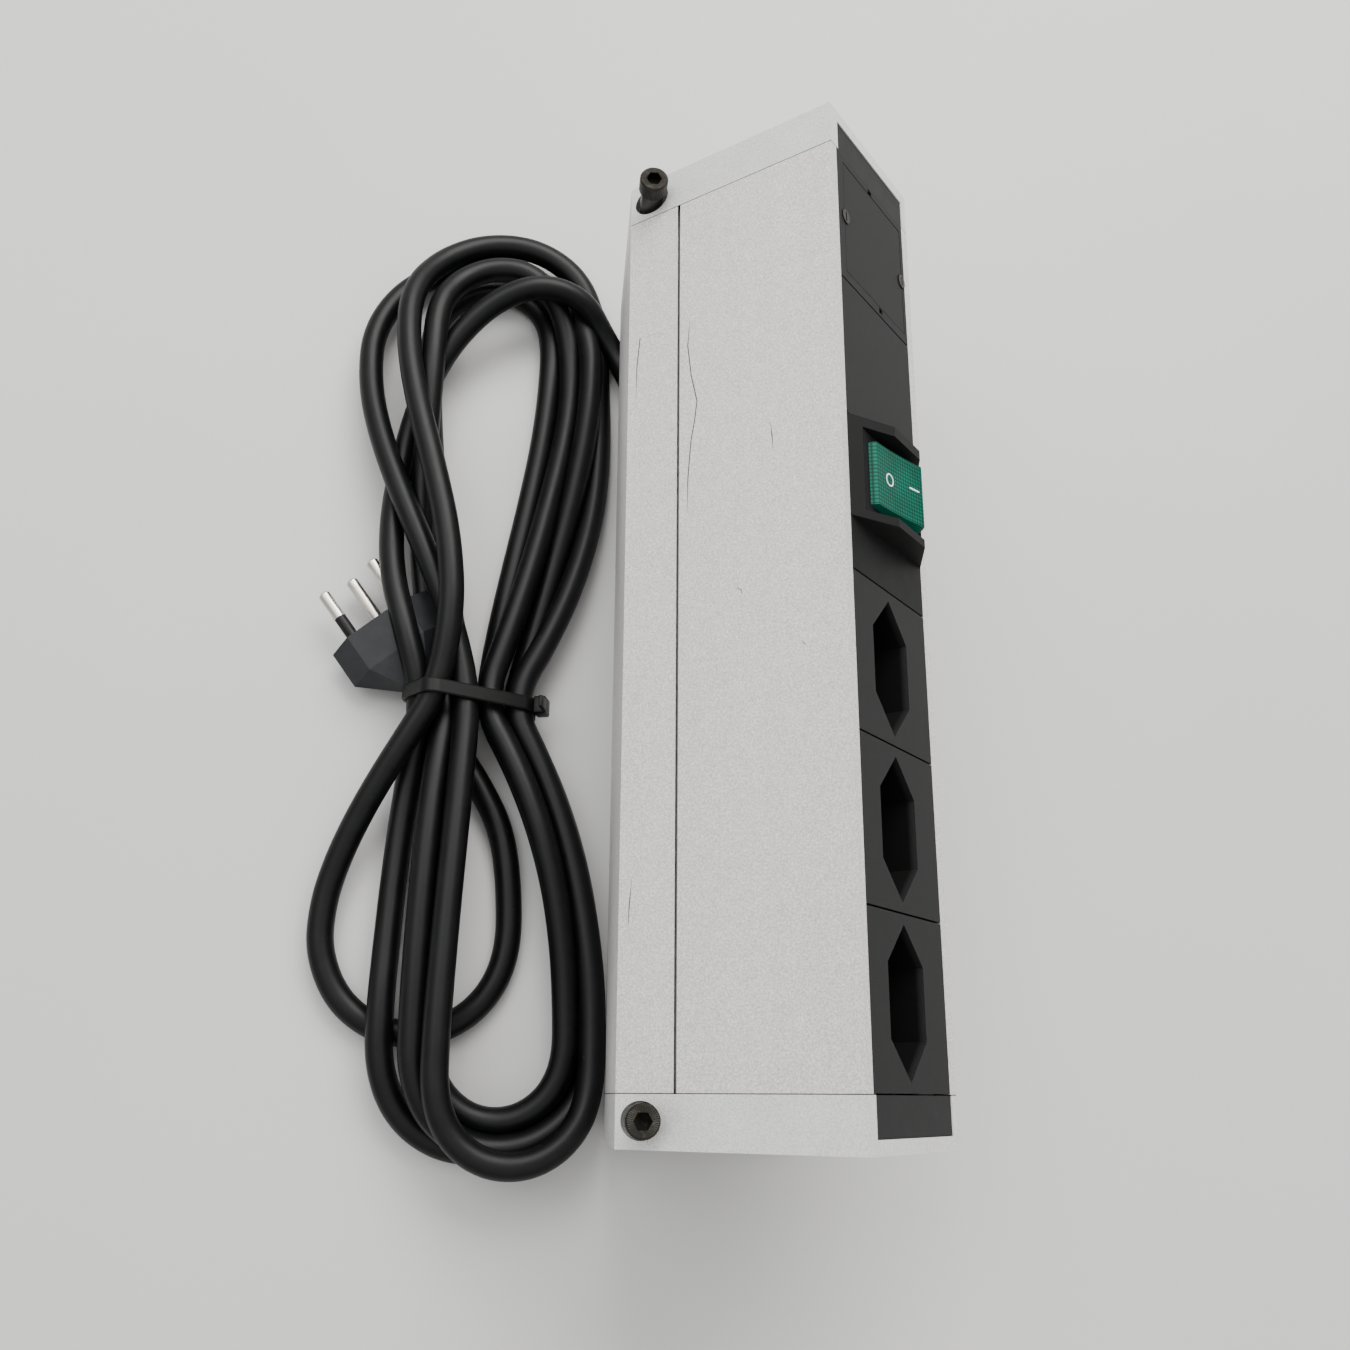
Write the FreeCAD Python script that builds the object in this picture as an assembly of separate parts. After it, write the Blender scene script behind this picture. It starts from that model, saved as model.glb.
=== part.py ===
import FreeCAD, Part
import math
import os

# A desk-edge power strip.  A hollow wedge lies on the desk top, a tall leg goes down behind the
# desk, and a jaw at each end is drawn up under the desk by a long screw.
#
# Strip coordinates, in millimetres: x runs from the back of the leg to the nose, y from the near
# end to the far end, z up from the surface that the strip stands on.  save() moves every piece so
# that the origin is under the middle of the strip.

Vector = FreeCAD.Vector
X_AXIS = Vector(1, 0, 0)
Y_AXIS = Vector(0, 1, 0)
Z_AXIS = Vector(0, 0, 1)

# Section of the strip
LENGTH = 283.0
CAP = 13.2                 # length of each end cap
PLAIN_FACE = 69.5          # width of the plain sloping face
SLOPE = 39.2               # its slope, degrees
SOCKET_FACE = 50.7         # width of the face that carries the modules, square to the plain one
HEEL = 79.0                # height of the wedge's underside
LEG_DEPTH = 13.6
LEG_BOTTOM = 12.1
WALL = 2.0
LEG_WALL = 1.6
GROOVE = 0.7
GROOVE_DEPTH = 6.0

# Modules in the socket face; across is measured from the ridge, depth is negative inwards
SLOT_START = 3.2
SLOT_END = 47.0
SOCKET_PITCH = 42.5
SWITCH_LENGTH = 44.5
PLATE = 3.0                # thickness of a module's plate
JOINT_GAP = 0.25           # half of the gap between two modules
FIT = 0.15                 # clearance between a module and the slot

# Clamp
SCREW_X = 6.0
SCREW_Y = 6.8
SHANK_R = 2.5
HEAD_R = 4.3
HEAD_HEIGHT = 5.0
HEAD_TOP = HEEL + 15.0
SLEEVE_R = 3.45
SEAT = HEEL - 4.0
SCREW_TIP = 4.0
JAW_WIDTH = 8.0
JAW_BLOCK_TOP = 17.0
JAW_REACH = 64.0
JAW_ARM = 6.0
PAD = 2.5
CHANNEL_TOP = HEEL - 8.0
CHANNEL_WIDTH = 8.8

# Mains lead
CORD_R = 4.15

# Section corners, worked out from the sizes above
COS = math.cos(math.radians(SLOPE))
SIN = math.sin(math.radians(SLOPE))
TAN = SIN / COS
RIDGE = Vector(PLAIN_FACE * COS, 0, HEEL + PLAIN_FACE * SIN)
TOE = Vector(RIDGE.x + SOCKET_FACE * SIN, 0, RIDGE.z - SOCKET_FACE * COS)
WIDTH = TOE.x
FACE_TILT = 90.0 - SLOPE

# Module rows along the strip
SOCKETS_START = CAP
SWITCH_START = SOCKETS_START + 3 * SOCKET_PITCH
BLANK_START = SWITCH_START + SWITCH_LENGTH
ROW_LENGTH = (LENGTH - CAP - BLANK_START) / 2
ACCESSORY_START = BLANK_START + ROW_LENGTH


def box(x0, x1, y0, y1, z0, z1):
    return Part.makeBox(x1 - x0, y1 - y0, z1 - z0, Vector(x0, y0, z0))


def rod(radius, start, axis, length):
    return Part.makeCylinder(radius, length, start, axis)


def prism_y(points, y0, y1):
    """Extrudes an outline given as (x, z) corners along the strip."""
    corners = [Vector(x, y0, z) for x, z in points]
    face = Part.Face(Part.makePolygon(corners + corners[:1]))
    return face.extrude(Vector(0, y1 - y0, 0))


def prism_z(points, z0, z1):
    """Extrudes an outline given as (x, y) corners upwards."""
    corners = [Vector(x, y, z0) for x, y in points]
    face = Part.Face(Part.makePolygon(corners + corners[:1]))
    return face.extrude(Vector(0, 0, z1 - z0))


def on_socket_face(shape):
    """Places a shape drawn as (across, along, outwards) on the socket face."""
    placed = shape.copy()
    turn = FreeCAD.Rotation(Y_AXIS, FACE_TILT)
    placed.Placement = FreeCAD.Placement(RIDGE, turn).multiply(placed.Placement)
    return placed


def face_point(across, out):
    """The (x, z) place of a point on or under the socket face."""
    return (RIDGE.x + across * SIN + out * COS, RIDGE.z - across * COS + out * SIN)


def to_far_end(shape):
    """Mirrors a piece of the near end to the far end."""
    return shape.mirror(Vector(0, LENGTH / 2, 0), Y_AXIS)


def soften(shape, radius, wanted):
    """Rounds the edges that wanted(edge) picks."""
    edges = [edge for edge in shape.Edges if wanted(edge)]
    return shape.makeFillet(radius, edges)


def joined(shapes):
    result = shapes[0]
    for shape in shapes[1:]:
        result = result.fuse(shape)
    return result.removeSplitter()


def save(name, shape):
    moved = shape.copy()
    moved.translate(Vector(-WIDTH / 2, -LENGTH / 2, 0))
    if not moved.isValid():
        print("not valid:", name)
    moved.exportStep("parts/" + name + ".step")


# ---------------------------------------------------------------- profiles and end caps

def plain_face_height(x):
    """Height of the plain sloping face at x."""
    return HEEL + x * TAN


def rear_profile():
    skin = LEG_WALL / COS
    outline = [
        (0, LEG_BOTTOM),
        (LEG_DEPTH, LEG_BOTTOM),
        (LEG_DEPTH, plain_face_height(LEG_DEPTH)),
        (0, HEEL),
    ]
    body = prism_y(outline, CAP, LENGTH - CAP)
    left = LEG_WALL
    right = LEG_DEPTH - LEG_WALL
    duct = box(left, right, 0, LENGTH, 0, HEEL - 14)
    chamber = prism_y(
        [
            (left, HEEL - 6),
            (right, HEEL - 6),
            (right, plain_face_height(right) - skin),
            (left, plain_face_height(left) - skin),
        ],
        0, LENGTH)
    return body.cut(duct).cut(chamber).cut(web_slot()).cut(wall_slot())


def web_slot():
    """Slot through the web of the leg, for the three wires."""
    return box(WIRE_X - 2, WIRE_X + 2.4, WIRE_Y - 5, WIRE_Y + 5, HEEL - 15, HEEL - 5)


def wall_slot():
    """Slot from the leg's upper chamber into the wedge, below the groove."""
    height = HEEL + WIRE_HEIGHT
    return box(LEG_DEPTH - 3, LEG_DEPTH + 4, WIRE_Y - 5, WIRE_Y + 5, height - 2.2, height + 1.3)


def housing_outline():
    left = LEG_DEPTH
    step = left + GROOVE
    groove_floor = plain_face_height(left) - GROOVE_DEPTH
    return [
        (left, HEEL),
        (left, groove_floor),
        (step, groove_floor),
        (step, plain_face_height(step)),
        (RIDGE.x, RIDGE.z),
        (TOE.x, TOE.z),
        (TOE.x, HEEL),
    ]


def housing_hollow():
    """The open channel inside the wedge, entered through the socket face."""
    inner_left = LEG_DEPTH + GROOVE + WALL
    floor = HEEL + WALL
    skin_across = WALL
    depth_at_left = (RIDGE.x + skin_across * SIN - inner_left) / COS
    depth_at_end = (RIDGE.z - SLOT_END * COS - floor) / SIN
    return [
        face_point(SLOT_START, 1),
        face_point(SLOT_START, -4),
        face_point(skin_across, -4),
        face_point(skin_across, -depth_at_left),
        (inner_left, floor),
        face_point(SLOT_END, -depth_at_end),
        face_point(SLOT_END, 1),
    ]


SCREW_BOSSES = [
    (face_point(5.2, -9.0), 3.3),
    (face_point(44.0, -6.6), 3.2),
    ((26.0, HEEL + 15.6), 3.2),
]
PILOT_R = 1.35


def housing_profile():
    y0 = CAP
    y1 = LENGTH - CAP
    body = prism_y(housing_outline(), y0, y1)
    body = body.cut(prism_y(housing_hollow(), y0 - 1, y1 + 1))
    inside = prism_y(housing_outline(), y0, y1)
    for (x, z), radius in SCREW_BOSSES:
        boss = rod(radius, Vector(x, y0, z), Y_AXIS, y1 - y0).common(inside)
        body = body.fuse(boss)
    for (x, z), radius in SCREW_BOSSES:
        body = body.cut(rod(PILOT_R, Vector(x, y0 - 1, z), Y_AXIS, y1 - y0 + 2))
    return body.cut(wall_slot()).removeSplitter()


INSET_START = 4.4
INSET_END = 47.8
INSET_DEPTH = 3.4
CAP_WALL = 3.5


def near_cap():
    outline = [
        (0, LEG_BOTTOM),
        (LEG_DEPTH, LEG_BOTTOM),
        (LEG_DEPTH, HEEL),
        (TOE.x, HEEL),
        (TOE.x, TOE.z),
        (RIDGE.x, RIDGE.z),
        (0, HEEL),
    ]
    body = prism_y(outline, 0, CAP)
    body = soften(body, 2.0, is_low_end_edge)
    inner_left = LEG_DEPTH + 3.0
    hollow = [
        face_point(6.0, -INSET_DEPTH + 0.5),
        face_point(3.0, -INSET_DEPTH - 2),
        face_point(3.0, -(RIDGE.x + 3.0 * SIN - inner_left) / COS),
        (inner_left, HEEL + 2.5),
        face_point(46.0, -(RIDGE.z - 46.0 * COS - HEEL - 2.5) / SIN),
        face_point(46.0, -INSET_DEPTH + 0.5),
    ]
    body = body.cut(prism_y(hollow, CAP_WALL, CAP + 1))
    pocket = box(INSET_START, INSET_END, CAP_WALL, CAP + 1, -INSET_DEPTH, 2)
    body = body.cut(on_socket_face(pocket))
    axis = Vector(SCREW_X, SCREW_Y, 0)
    body = body.cut(rod(4.7, axis + Z_AXIS * SEAT, Z_AXIS, 40))
    body = body.cut(rod(SHANK_R + 0.3, axis + Z_AXIS * (CHANNEL_TOP - 1), Z_AXIS, 10))
    half = CHANNEL_WIDTH / 2
    channel = box(LEG_WALL, LEG_DEPTH + 1, SCREW_Y - half, SCREW_Y + half, 0, CHANNEL_TOP)
    body = body.cut(channel)
    for (x, z), radius in SCREW_BOSSES:
        post = rod(3.4, Vector(x, CAP_WALL - 0.5, z), Y_AXIS, CAP - CAP_WALL + 0.5)
        body = body.fuse(post.common(prism_y(outline, 0, CAP)).cut(on_socket_face(pocket)))
    for (x, z), radius in SCREW_BOSSES:
        body = body.cut(rod(1.9, Vector(x, -1, z), Y_AXIS, CAP + 2))
        body = body.cut(Part.makeCone(3.6, 1.9, 1.7, Vector(x, 0, z), Y_AXIS))
    return body


def is_low_end_edge(edge):
    """The bottom edge of the leg at the outer end of the cap."""
    box_of_edge = edge.BoundBox
    low = abs(box_of_edge.ZMin - LEG_BOTTOM) < 0.01 and abs(box_of_edge.ZMax - LEG_BOTTOM) < 0.01
    at_end = abs(box_of_edge.YMin) < 0.01 and abs(box_of_edge.YMax) < 0.01
    return low and at_end


def cap_inset():
    plate = box(INSET_START + FIT, INSET_END - FIT, CAP_WALL + FIT, CAP - FIT, -INSET_DEPTH, -0.3)
    rib = box(12, 40, CAP_WALL + 1.5, CAP - 1.5, -INSET_DEPTH - 2.5, -INSET_DEPTH)
    return on_socket_face(plate.fuse(rib).removeSplitter())


def cap_screw(x, z):
    """A countersunk self-tapping screw, driven along the strip from the near end."""
    head = Part.makeCone(3.4, 1.6, 1.7, Vector(x, 0.05, z), Y_AXIS)
    shank = rod(1.3, Vector(x, 1.5, z), Y_AXIS, 22.0)
    shape = head.fuse(shank)
    for dx, dz in ((1.9, 0.35), (0.35, 1.9)):
        slot = box(x - dx, x + dx, -1, 1.1, z - dz, z + dz)
        shape = shape.cut(slot)
    return shape.removeSplitter()


def cap_screws():
    near = [cap_screw(x, z) for (x, z), radius in SCREW_BOSSES]
    return Part.makeCompound(near + [to_far_end(screw) for screw in near])


# ---------------------------------------------------------------- clamps

def clamp_screw():
    axis = Vector(SCREW_X, SCREW_Y, 0)
    head_bottom = HEAD_TOP - HEAD_HEIGHT
    head = rod(HEAD_R, axis + Z_AXIS * head_bottom, Z_AXIS, HEAD_HEIGHT)
    head = head.makeChamfer(0.5, [edge_at_height(head, HEAD_TOP)])
    shank = rod(SHANK_R, axis + Z_AXIS * SCREW_TIP, Z_AXIS, head_bottom - SCREW_TIP + 1)
    ring = rod(4.2, axis + Z_AXIS * (CHANNEL_TOP - 1.3), Z_AXIS, 1.0)
    key = hexagon(2.05, axis + Z_AXIS * (HEAD_TOP - 2.6), 3.0)
    return joined([head, shank, ring]).cut(key)


def edge_at_height(shape, height):
    for edge in shape.Edges:
        if abs(edge.BoundBox.ZMin - height) < 0.01 and abs(edge.BoundBox.ZMax - height) < 0.01:
            return edge
    return None


def hexagon(inner_radius, base, height):
    """A six-sided prism standing on base, given its radius to a flat."""
    outer = inner_radius / math.cos(math.radians(30))
    corners = []
    for corner in range(6):
        angle = math.radians(60 * corner)
        corners.append((base.x + outer * math.cos(angle), base.y + outer * math.sin(angle)))
    return prism_z(corners, base.z, base.z + height)


def clamp_sleeve():
    axis = Vector(SCREW_X, SCREW_Y, 0)
    length = HEAD_TOP - HEAD_HEIGHT - SEAT
    outer = rod(SLEEVE_R, axis + Z_AXIS * SEAT, Z_AXIS, length)
    return outer.cut(rod(SHANK_R + 0.06, axis + Z_AXIS * (SEAT - 1), Z_AXIS, length + 2))


NUT_HALF = 3.6
NUT_HEIGHT = 4.0
NUT_Z = 9.0


def clamp_jaw():
    low = SCREW_Y - JAW_WIDTH / 2
    high = SCREW_Y + JAW_WIDTH / 2
    block = box(LEG_WALL + 0.4, LEG_DEPTH + 1.5, low, high, 0, JAW_BLOCK_TOP)
    side = [
        (LEG_DEPTH + 0.6, 0),
        (JAW_REACH, 0),
        (JAW_REACH, JAW_ARM - 2),
        (JAW_REACH - 3, JAW_ARM),
        (LEG_DEPTH + 8, JAW_ARM),
        (LEG_DEPTH + 2.5, JAW_BLOCK_TOP - 3),
        (LEG_DEPTH + 0.6, JAW_BLOCK_TOP),
    ]
    rib = prism_y(side, low, high)
    foot = box(LEG_DEPTH + 6, JAW_REACH, low, high + 16, 0, JAW_ARM)
    corner = [edge for edge in foot.Edges if is_upright(edge) and edge.BoundBox.XMin > JAW_REACH - 1]
    foot = foot.makeFillet(3.5, corner)
    jaw = block.fuse(rib.common(box(0, JAW_REACH - 6, low, high, 0, JAW_BLOCK_TOP))).fuse(foot)
    axis = Vector(SCREW_X, SCREW_Y, 0)
    jaw = jaw.cut(rod(SHANK_R + 0.3, axis - Z_AXIS, Z_AXIS, JAW_BLOCK_TOP + 2))
    nut_slot = box(
        0, SCREW_X + NUT_HALF + 0.1,
        SCREW_Y - NUT_HALF - 0.1, SCREW_Y + NUT_HALF + 0.1,
        NUT_Z - 0.1, NUT_Z + NUT_HEIGHT + 0.1)
    return jaw.cut(nut_slot).removeSplitter()


def is_upright(edge):
    size = edge.BoundBox
    return size.XLength < 0.01 and size.YLength < 0.01


def jaw_nut():
    block = box(
        SCREW_X - NUT_HALF, SCREW_X + NUT_HALF,
        SCREW_Y - NUT_HALF, SCREW_Y + NUT_HALF,
        NUT_Z, NUT_Z + NUT_HEIGHT)
    return block.cut(rod(SHANK_R + 0.05, Vector(SCREW_X, SCREW_Y, 0), Z_AXIS, 30))


def jaw_pad():
    low = SCREW_Y - JAW_WIDTH / 2 + 1.5
    high = SCREW_Y + JAW_WIDTH / 2 + 14.5
    pad = box(LEG_DEPTH + 13, JAW_REACH - 4, low, high, JAW_ARM, JAW_ARM + PAD)
    pad = pad.makeFillet(2.0, [edge for edge in pad.Edges if is_upright(edge)])
    for groove in range(5):
        x = LEG_DEPTH + 18 + 7 * groove
        pad = pad.cut(box(x, x + 1.2, low - 1, high + 1, JAW_ARM + PAD - 0.8, JAW_ARM + PAD + 1))
    return pad


# ---------------------------------------------------------------- sockets

RECESS_LENGTH = 37.2
RECESS_WIDTH = 20.4
RECESS_SIDE = 17.8
RECESS_DEPTH = 12.0
RECESS_ACROSS = 23.9       # middle of the recess, across the face
PIN_HALF_PITCH = 9.5
EARTH_OFFSET = -5.0
PIN_HOLE_R = 2.25
BODY_BOTTOM = 31.9
EARTH_RAIL_LOW = -BODY_BOTTOM - 0.9
EARTH_RAIL_HIGH = -BODY_BOTTOM - 0.1
RAIL_HALF = 0.4
EARTH_RAIL_HALF = 1.5
TAB_HALF = 2.0
CONTACT_R = 2.9
CONTACT_BORE = 2.05
CONTACT_TOP = 17.0
CONTACT_BOTTOM = 29.0
LIVE_RAIL = 27.9
NEUTRAL_RAIL = 12.6
EARTH_ACROSS = RECESS_ACROSS + EARTH_OFFSET


def socket_middle(row):
    return SOCKETS_START + SOCKET_PITCH * (row + 0.5)


def recess_outline(grow):
    """Corners of the six-sided recess, as (across, along)."""
    half_width = RECESS_WIDTH / 2 + grow
    half_side = RECESS_SIDE / 2
    half_length = RECESS_LENGTH / 2 + grow
    return [
        (0, -half_length),
        (half_width, -half_side),
        (half_width, half_side),
        (0, half_length),
        (-half_width, half_side),
        (-half_width, -half_side),
    ]


def pin_places(row):
    middle = socket_middle(row)
    return {
        "live": (RECESS_ACROSS, middle + PIN_HALF_PITCH),
        "neutral": (RECESS_ACROSS, middle - PIN_HALF_PITCH),
        "earth": (EARTH_ACROSS, middle),
    }


def socket_module(row):
    start = SOCKETS_START + SOCKET_PITCH * row + JOINT_GAP
    end = start + SOCKET_PITCH - 2 * JOINT_GAP
    middle = socket_middle(row)
    plate = box(SLOT_START + FIT, SLOT_END - FIT, start, end, -PLATE, 0)
    upper = box(10.6, 38.0, start + 1, end - 1, -CONTACT_TOP + 1, -PLATE)
    lower = box(14.4, 26.8, start + 1, end - 1, -BODY_BOTTOM, -PLATE)
    clip_low = box(8.6, 10.6, middle - 4, middle + 4, -9, -PLATE)
    clip_high = box(38.0, 40.0, middle - 4, middle + 4, -9, -PLATE)
    body = joined([plate, upper, lower, clip_low, clip_high])
    corners = [(RECESS_ACROSS + a, middle + b) for a, b in recess_outline(0)]
    body = body.cut(prism_z(corners, -RECESS_DEPTH, 1))
    for kind, (across, along) in pin_places(row).items():
        body = body.cut(rod(PIN_HOLE_R, Vector(across, along, -BODY_BOTTOM + 1), Z_AXIS, 30))
        chamber = rod(
            CONTACT_R + 0.1, Vector(across, along, -CONTACT_BOTTOM - 0.1), Z_AXIS,
            CONTACT_BOTTOM - CONTACT_TOP + 0.2)
        body = body.cut(chamber)
        body = body.cut(contact_tab(kind, across, along, 0.1))
    return on_socket_face(body)


def contact_tab(kind, across, along, grow):
    """The strip of brass that joins a contact tube to its rail."""
    if kind == "live":
        ends = (across + 2.4, LIVE_RAIL + RAIL_HALF)
    elif kind == "neutral":
        ends = (NEUTRAL_RAIL - RAIL_HALF, across - 2.4)
    else:
        half = EARTH_RAIL_HALF + grow
        return box(across - half, across + half, along - TAB_HALF - grow, along + TAB_HALF + grow,
                   EARTH_RAIL_LOW, -CONTACT_BOTTOM + 0.5)
    return box(ends[0], ends[1], along - TAB_HALF - grow, along + TAB_HALF + grow,
               -27 - grow, -24 + grow)


def busbar(kind):
    """One brass rail with its three contact tubes, drawn on the socket face."""
    pieces = []
    for row in range(3):
        across, along = pin_places(row)[kind]
        tube = rod(CONTACT_R, Vector(across, along, -CONTACT_BOTTOM), Z_AXIS,
                   CONTACT_BOTTOM - CONTACT_TOP)
        pieces.append(tube)
        pieces.append(contact_tab(kind, across, along, 0))
    start = socket_middle(0) - 12
    end = SWITCH_START + 6
    if kind == "earth":
        rail = box(EARTH_ACROSS - EARTH_RAIL_HALF, EARTH_ACROSS + EARTH_RAIL_HALF, start, end,
                   EARTH_RAIL_LOW, EARTH_RAIL_HIGH)
    else:
        middle = {"live": LIVE_RAIL, "neutral": NEUTRAL_RAIL}[kind]
        rail = box(middle - RAIL_HALF, middle + RAIL_HALF, start, end, -28, -22)
    pieces.append(rail)
    bar = joined(pieces)
    for row in range(3):
        across, along = pin_places(row)[kind]
        bar = bar.cut(rod(CONTACT_BORE, Vector(across, along, -CONTACT_BOTTOM + 0.8), Z_AXIS, 30))
    return on_socket_face(bar)


# ---------------------------------------------------------------- switch

ROCKER_ACROSS = 24.2
ROCKER_ALONG = SWITCH_START + 29.3
AXIS_DEPTH = 3.0
ROCKER_R = 13.8
ROCKER_TOP = 9.15          # top of the level rocker above its axis
ROCKER_WIDTH = 18.2
ROCKER_TILT = 10.4         # tilt at rest, with the O end pressed in
HUMP_START = SWITCH_START + 14.8
HUMP_HEIGHT = 7.1
HUMP_CREST = (17.6, 34.0)
FLANGE_TOP = 2.2
FLANGE_HALF = 15.9
FLANGE_WIDTH = 23.6
SHELL_HALF = 15.0
SHELL_WIDTH = 22.0
SHELL_BOTTOM = 13.0
CAVITY_R = 14.15


def switch_module():
    start = SWITCH_START + JOINT_GAP
    end = BLANK_START - JOINT_GAP
    plate = box(SLOT_START + FIT, SLOT_END - FIT, start, end, -PLATE, 0)
    left = SLOT_START + FIT
    right = SLOT_END - FIT
    hump = prism_y(
        [(left, 0), (HUMP_CREST[0], HUMP_HEIGHT), (HUMP_CREST[1], HUMP_HEIGHT), (right, 0)],
        HUMP_START, end)
    skirt = box(10, 39, start + 1, start + 2.5, -8, -PLATE)
    body = joined([plate, hump, skirt])
    half = FLANGE_WIDTH / 2 + 0.3
    recess = box(ROCKER_ACROSS - FLANGE_HALF - 0.4, ROCKER_ACROSS + FLANGE_HALF + 0.4,
                 ROCKER_ALONG - half, ROCKER_ALONG + half, 0, HUMP_HEIGHT + 1)
    body = body.cut(recess)
    opening = box(ROCKER_ACROSS - SHELL_HALF - 0.1, ROCKER_ACROSS + SHELL_HALF + 0.1,
                  ROCKER_ALONG - SHELL_WIDTH / 2 - 0.1, ROCKER_ALONG + SHELL_WIDTH / 2 + 0.1,
                  -PLATE - 1, 1)
    return on_socket_face(body.cut(opening))


def switch_shell():
    """Snap-in housing of the switch, with its flange and the hollow that the rocker turns in."""
    flange = box(ROCKER_ACROSS - FLANGE_HALF, ROCKER_ACROSS + FLANGE_HALF,
                 ROCKER_ALONG - FLANGE_WIDTH / 2, ROCKER_ALONG + FLANGE_WIDTH / 2, 0, FLANGE_TOP)
    shell = box(ROCKER_ACROSS - SHELL_HALF, ROCKER_ACROSS + SHELL_HALF,
                ROCKER_ALONG - SHELL_WIDTH / 2, ROCKER_ALONG + SHELL_WIDTH / 2, -SHELL_BOTTOM, 0.5)
    body = joined([flange, shell])
    half = ROCKER_WIDTH / 2 + 0.35
    axis_point = Vector(ROCKER_ACROSS, ROCKER_ALONG - half, -AXIS_DEPTH)
    hollow = rod(CAVITY_R, axis_point, Y_AXIS, 2 * half)
    floor = box(0, 60, ROCKER_ALONG - half, ROCKER_ALONG + half, -SHELL_BOTTOM + 3, 20)
    body = body.cut(hollow.common(floor))
    pivot = rod(1.55, Vector(ROCKER_ACROSS, ROCKER_ALONG - half - 1.2, -AXIS_DEPTH), Y_AXIS,
                2 * half + 2.4)
    return on_socket_face(body.cut(pivot))


def rocker():
    """The level rocker is a slice of a round bar; it is drawn tilted, with its O end pressed in."""
    half = ROCKER_WIDTH / 2
    start = Vector(ROCKER_ACROSS, ROCKER_ALONG - half, -AXIS_DEPTH)
    bar = rod(ROCKER_R, start, Y_AXIS, ROCKER_WIDTH)
    slab = box(0, 60, ROCKER_ALONG - half, ROCKER_ALONG + half,
               -AXIS_DEPTH + 1.4, -AXIS_DEPTH + ROCKER_TOP)
    body = bar.common(slab)
    dish = rod(120.0, Vector(ROCKER_ACROSS, ROCKER_ALONG - half - 1, -AXIS_DEPTH + ROCKER_TOP + 119.5),
               Y_AXIS, ROCKER_WIDTH + 2)
    body = body.cut(dish)
    hollow = box(ROCKER_ACROSS - 10.5, ROCKER_ACROSS + 10.5,
                 ROCKER_ALONG - half + 1.4, ROCKER_ALONG + half - 1.4,
                 -AXIS_DEPTH, -AXIS_DEPTH + ROCKER_TOP - 2.2)
    body = body.cut(hollow)
    for side in (-1, 1):
        inner = ROCKER_ALONG + side * (half - 1.4)
        low = min(inner, inner + side * 1.4)
        ear = box(ROCKER_ACROSS - 2.2, ROCKER_ACROSS + 2.2, low, low + 1.4,
                  -AXIS_DEPTH - 2.2, -AXIS_DEPTH + 2)
        foot = ROCKER_ALONG + side * (half - 0.4)
        pin = rod(1.5, Vector(ROCKER_ACROSS, min(foot, foot + side * 1.6), -AXIS_DEPTH), Y_AXIS, 1.6)
        body = body.fuse(ear).fuse(pin)
    body = body.removeSplitter()
    body.rotate(Vector(ROCKER_ACROSS, ROCKER_ALONG, -AXIS_DEPTH), Y_AXIS, -ROCKER_TILT)
    return on_socket_face(body)


def switch_lamp():
    """The small glass neon lamp that lights the rocker from below."""
    glass = rod(1.9, Vector(ROCKER_ACROSS - 5, ROCKER_ALONG, -8.0), X_AXIS, 10)
    return on_socket_face(glass)


def switch_terminals():
    blades = []
    for across in (ROCKER_ACROSS - 11, ROCKER_ACROSS - 3.5):
        for side in (-1, 1):
            along = ROCKER_ALONG + side * 5.6
            blades.append(on_socket_face(
                box(across - 3.15, across + 3.15, along - 0.4, along + 0.4,
                    -SHELL_BOTTOM - 8, -SHELL_BOTTOM)))
    return Part.makeCompound(blades)


# ---------------------------------------------------------------- blank module and accessory

COVER_START = 7.2
COVER_END = 44.9
COVER_INSET_LOW = 3.4
COVER_INSET_HIGH = 2.9
COVER_GAP = 0.25
CLIP_ACROSS = (7.5, 44.6)
CLIP_R = 2.1


def blank_module():
    start = BLANK_START + JOINT_GAP
    end = ACCESSORY_START - JOINT_GAP
    plate = box(SLOT_START + FIT, SLOT_END - FIT, start, end, -PLATE, 0)
    rails = [box(a, a + 1.8, start + 2, end - 2, -8, -PLATE) for a in (10, 37.5)]
    return on_socket_face(joined([plate] + rails))


def cover_box(grow, low, high):
    return box(COVER_START - grow, COVER_END + grow,
               ACCESSORY_START + COVER_INSET_LOW - grow, LENGTH - CAP - COVER_INSET_HIGH + grow,
               low, high)


def clip_along():
    return (ACCESSORY_START + COVER_INSET_LOW + LENGTH - CAP - COVER_INSET_HIGH) / 2


def accessory_frame():
    start = ACCESSORY_START + JOINT_GAP
    end = LENGTH - CAP - JOINT_GAP
    plate = box(SLOT_START + FIT, SLOT_END - FIT, start, end, -PLATE, 0)
    lip = cover_box(-2.0, -PLATE - 2, -PLATE).common(box(9.5, 39.5, 0, LENGTH, -10, 0))
    plate = plate.fuse(lip).removeSplitter()
    plate = plate.cut(cover_box(COVER_GAP, -2.2, 1))
    plate = plate.cut(cover_box(-4.0, -10, 1))
    for across in CLIP_ACROSS:
        plate = plate.cut(rod(CLIP_R + 0.15, Vector(across, clip_along(), -1.2), Z_AXIS, 5))
        plate = plate.cut(rod(1.0, Vector(across, clip_along(), -6), Z_AXIS, 8))
    plate = plate.cut(box(23.3, 25.7, end - 2.6, end - 0.9, -1.5, 1))
    plate = plate.cut(box(27.4, 29.6, start + 1.0, start + 2.6, -1.5, 1))
    return on_socket_face(plate)


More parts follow.
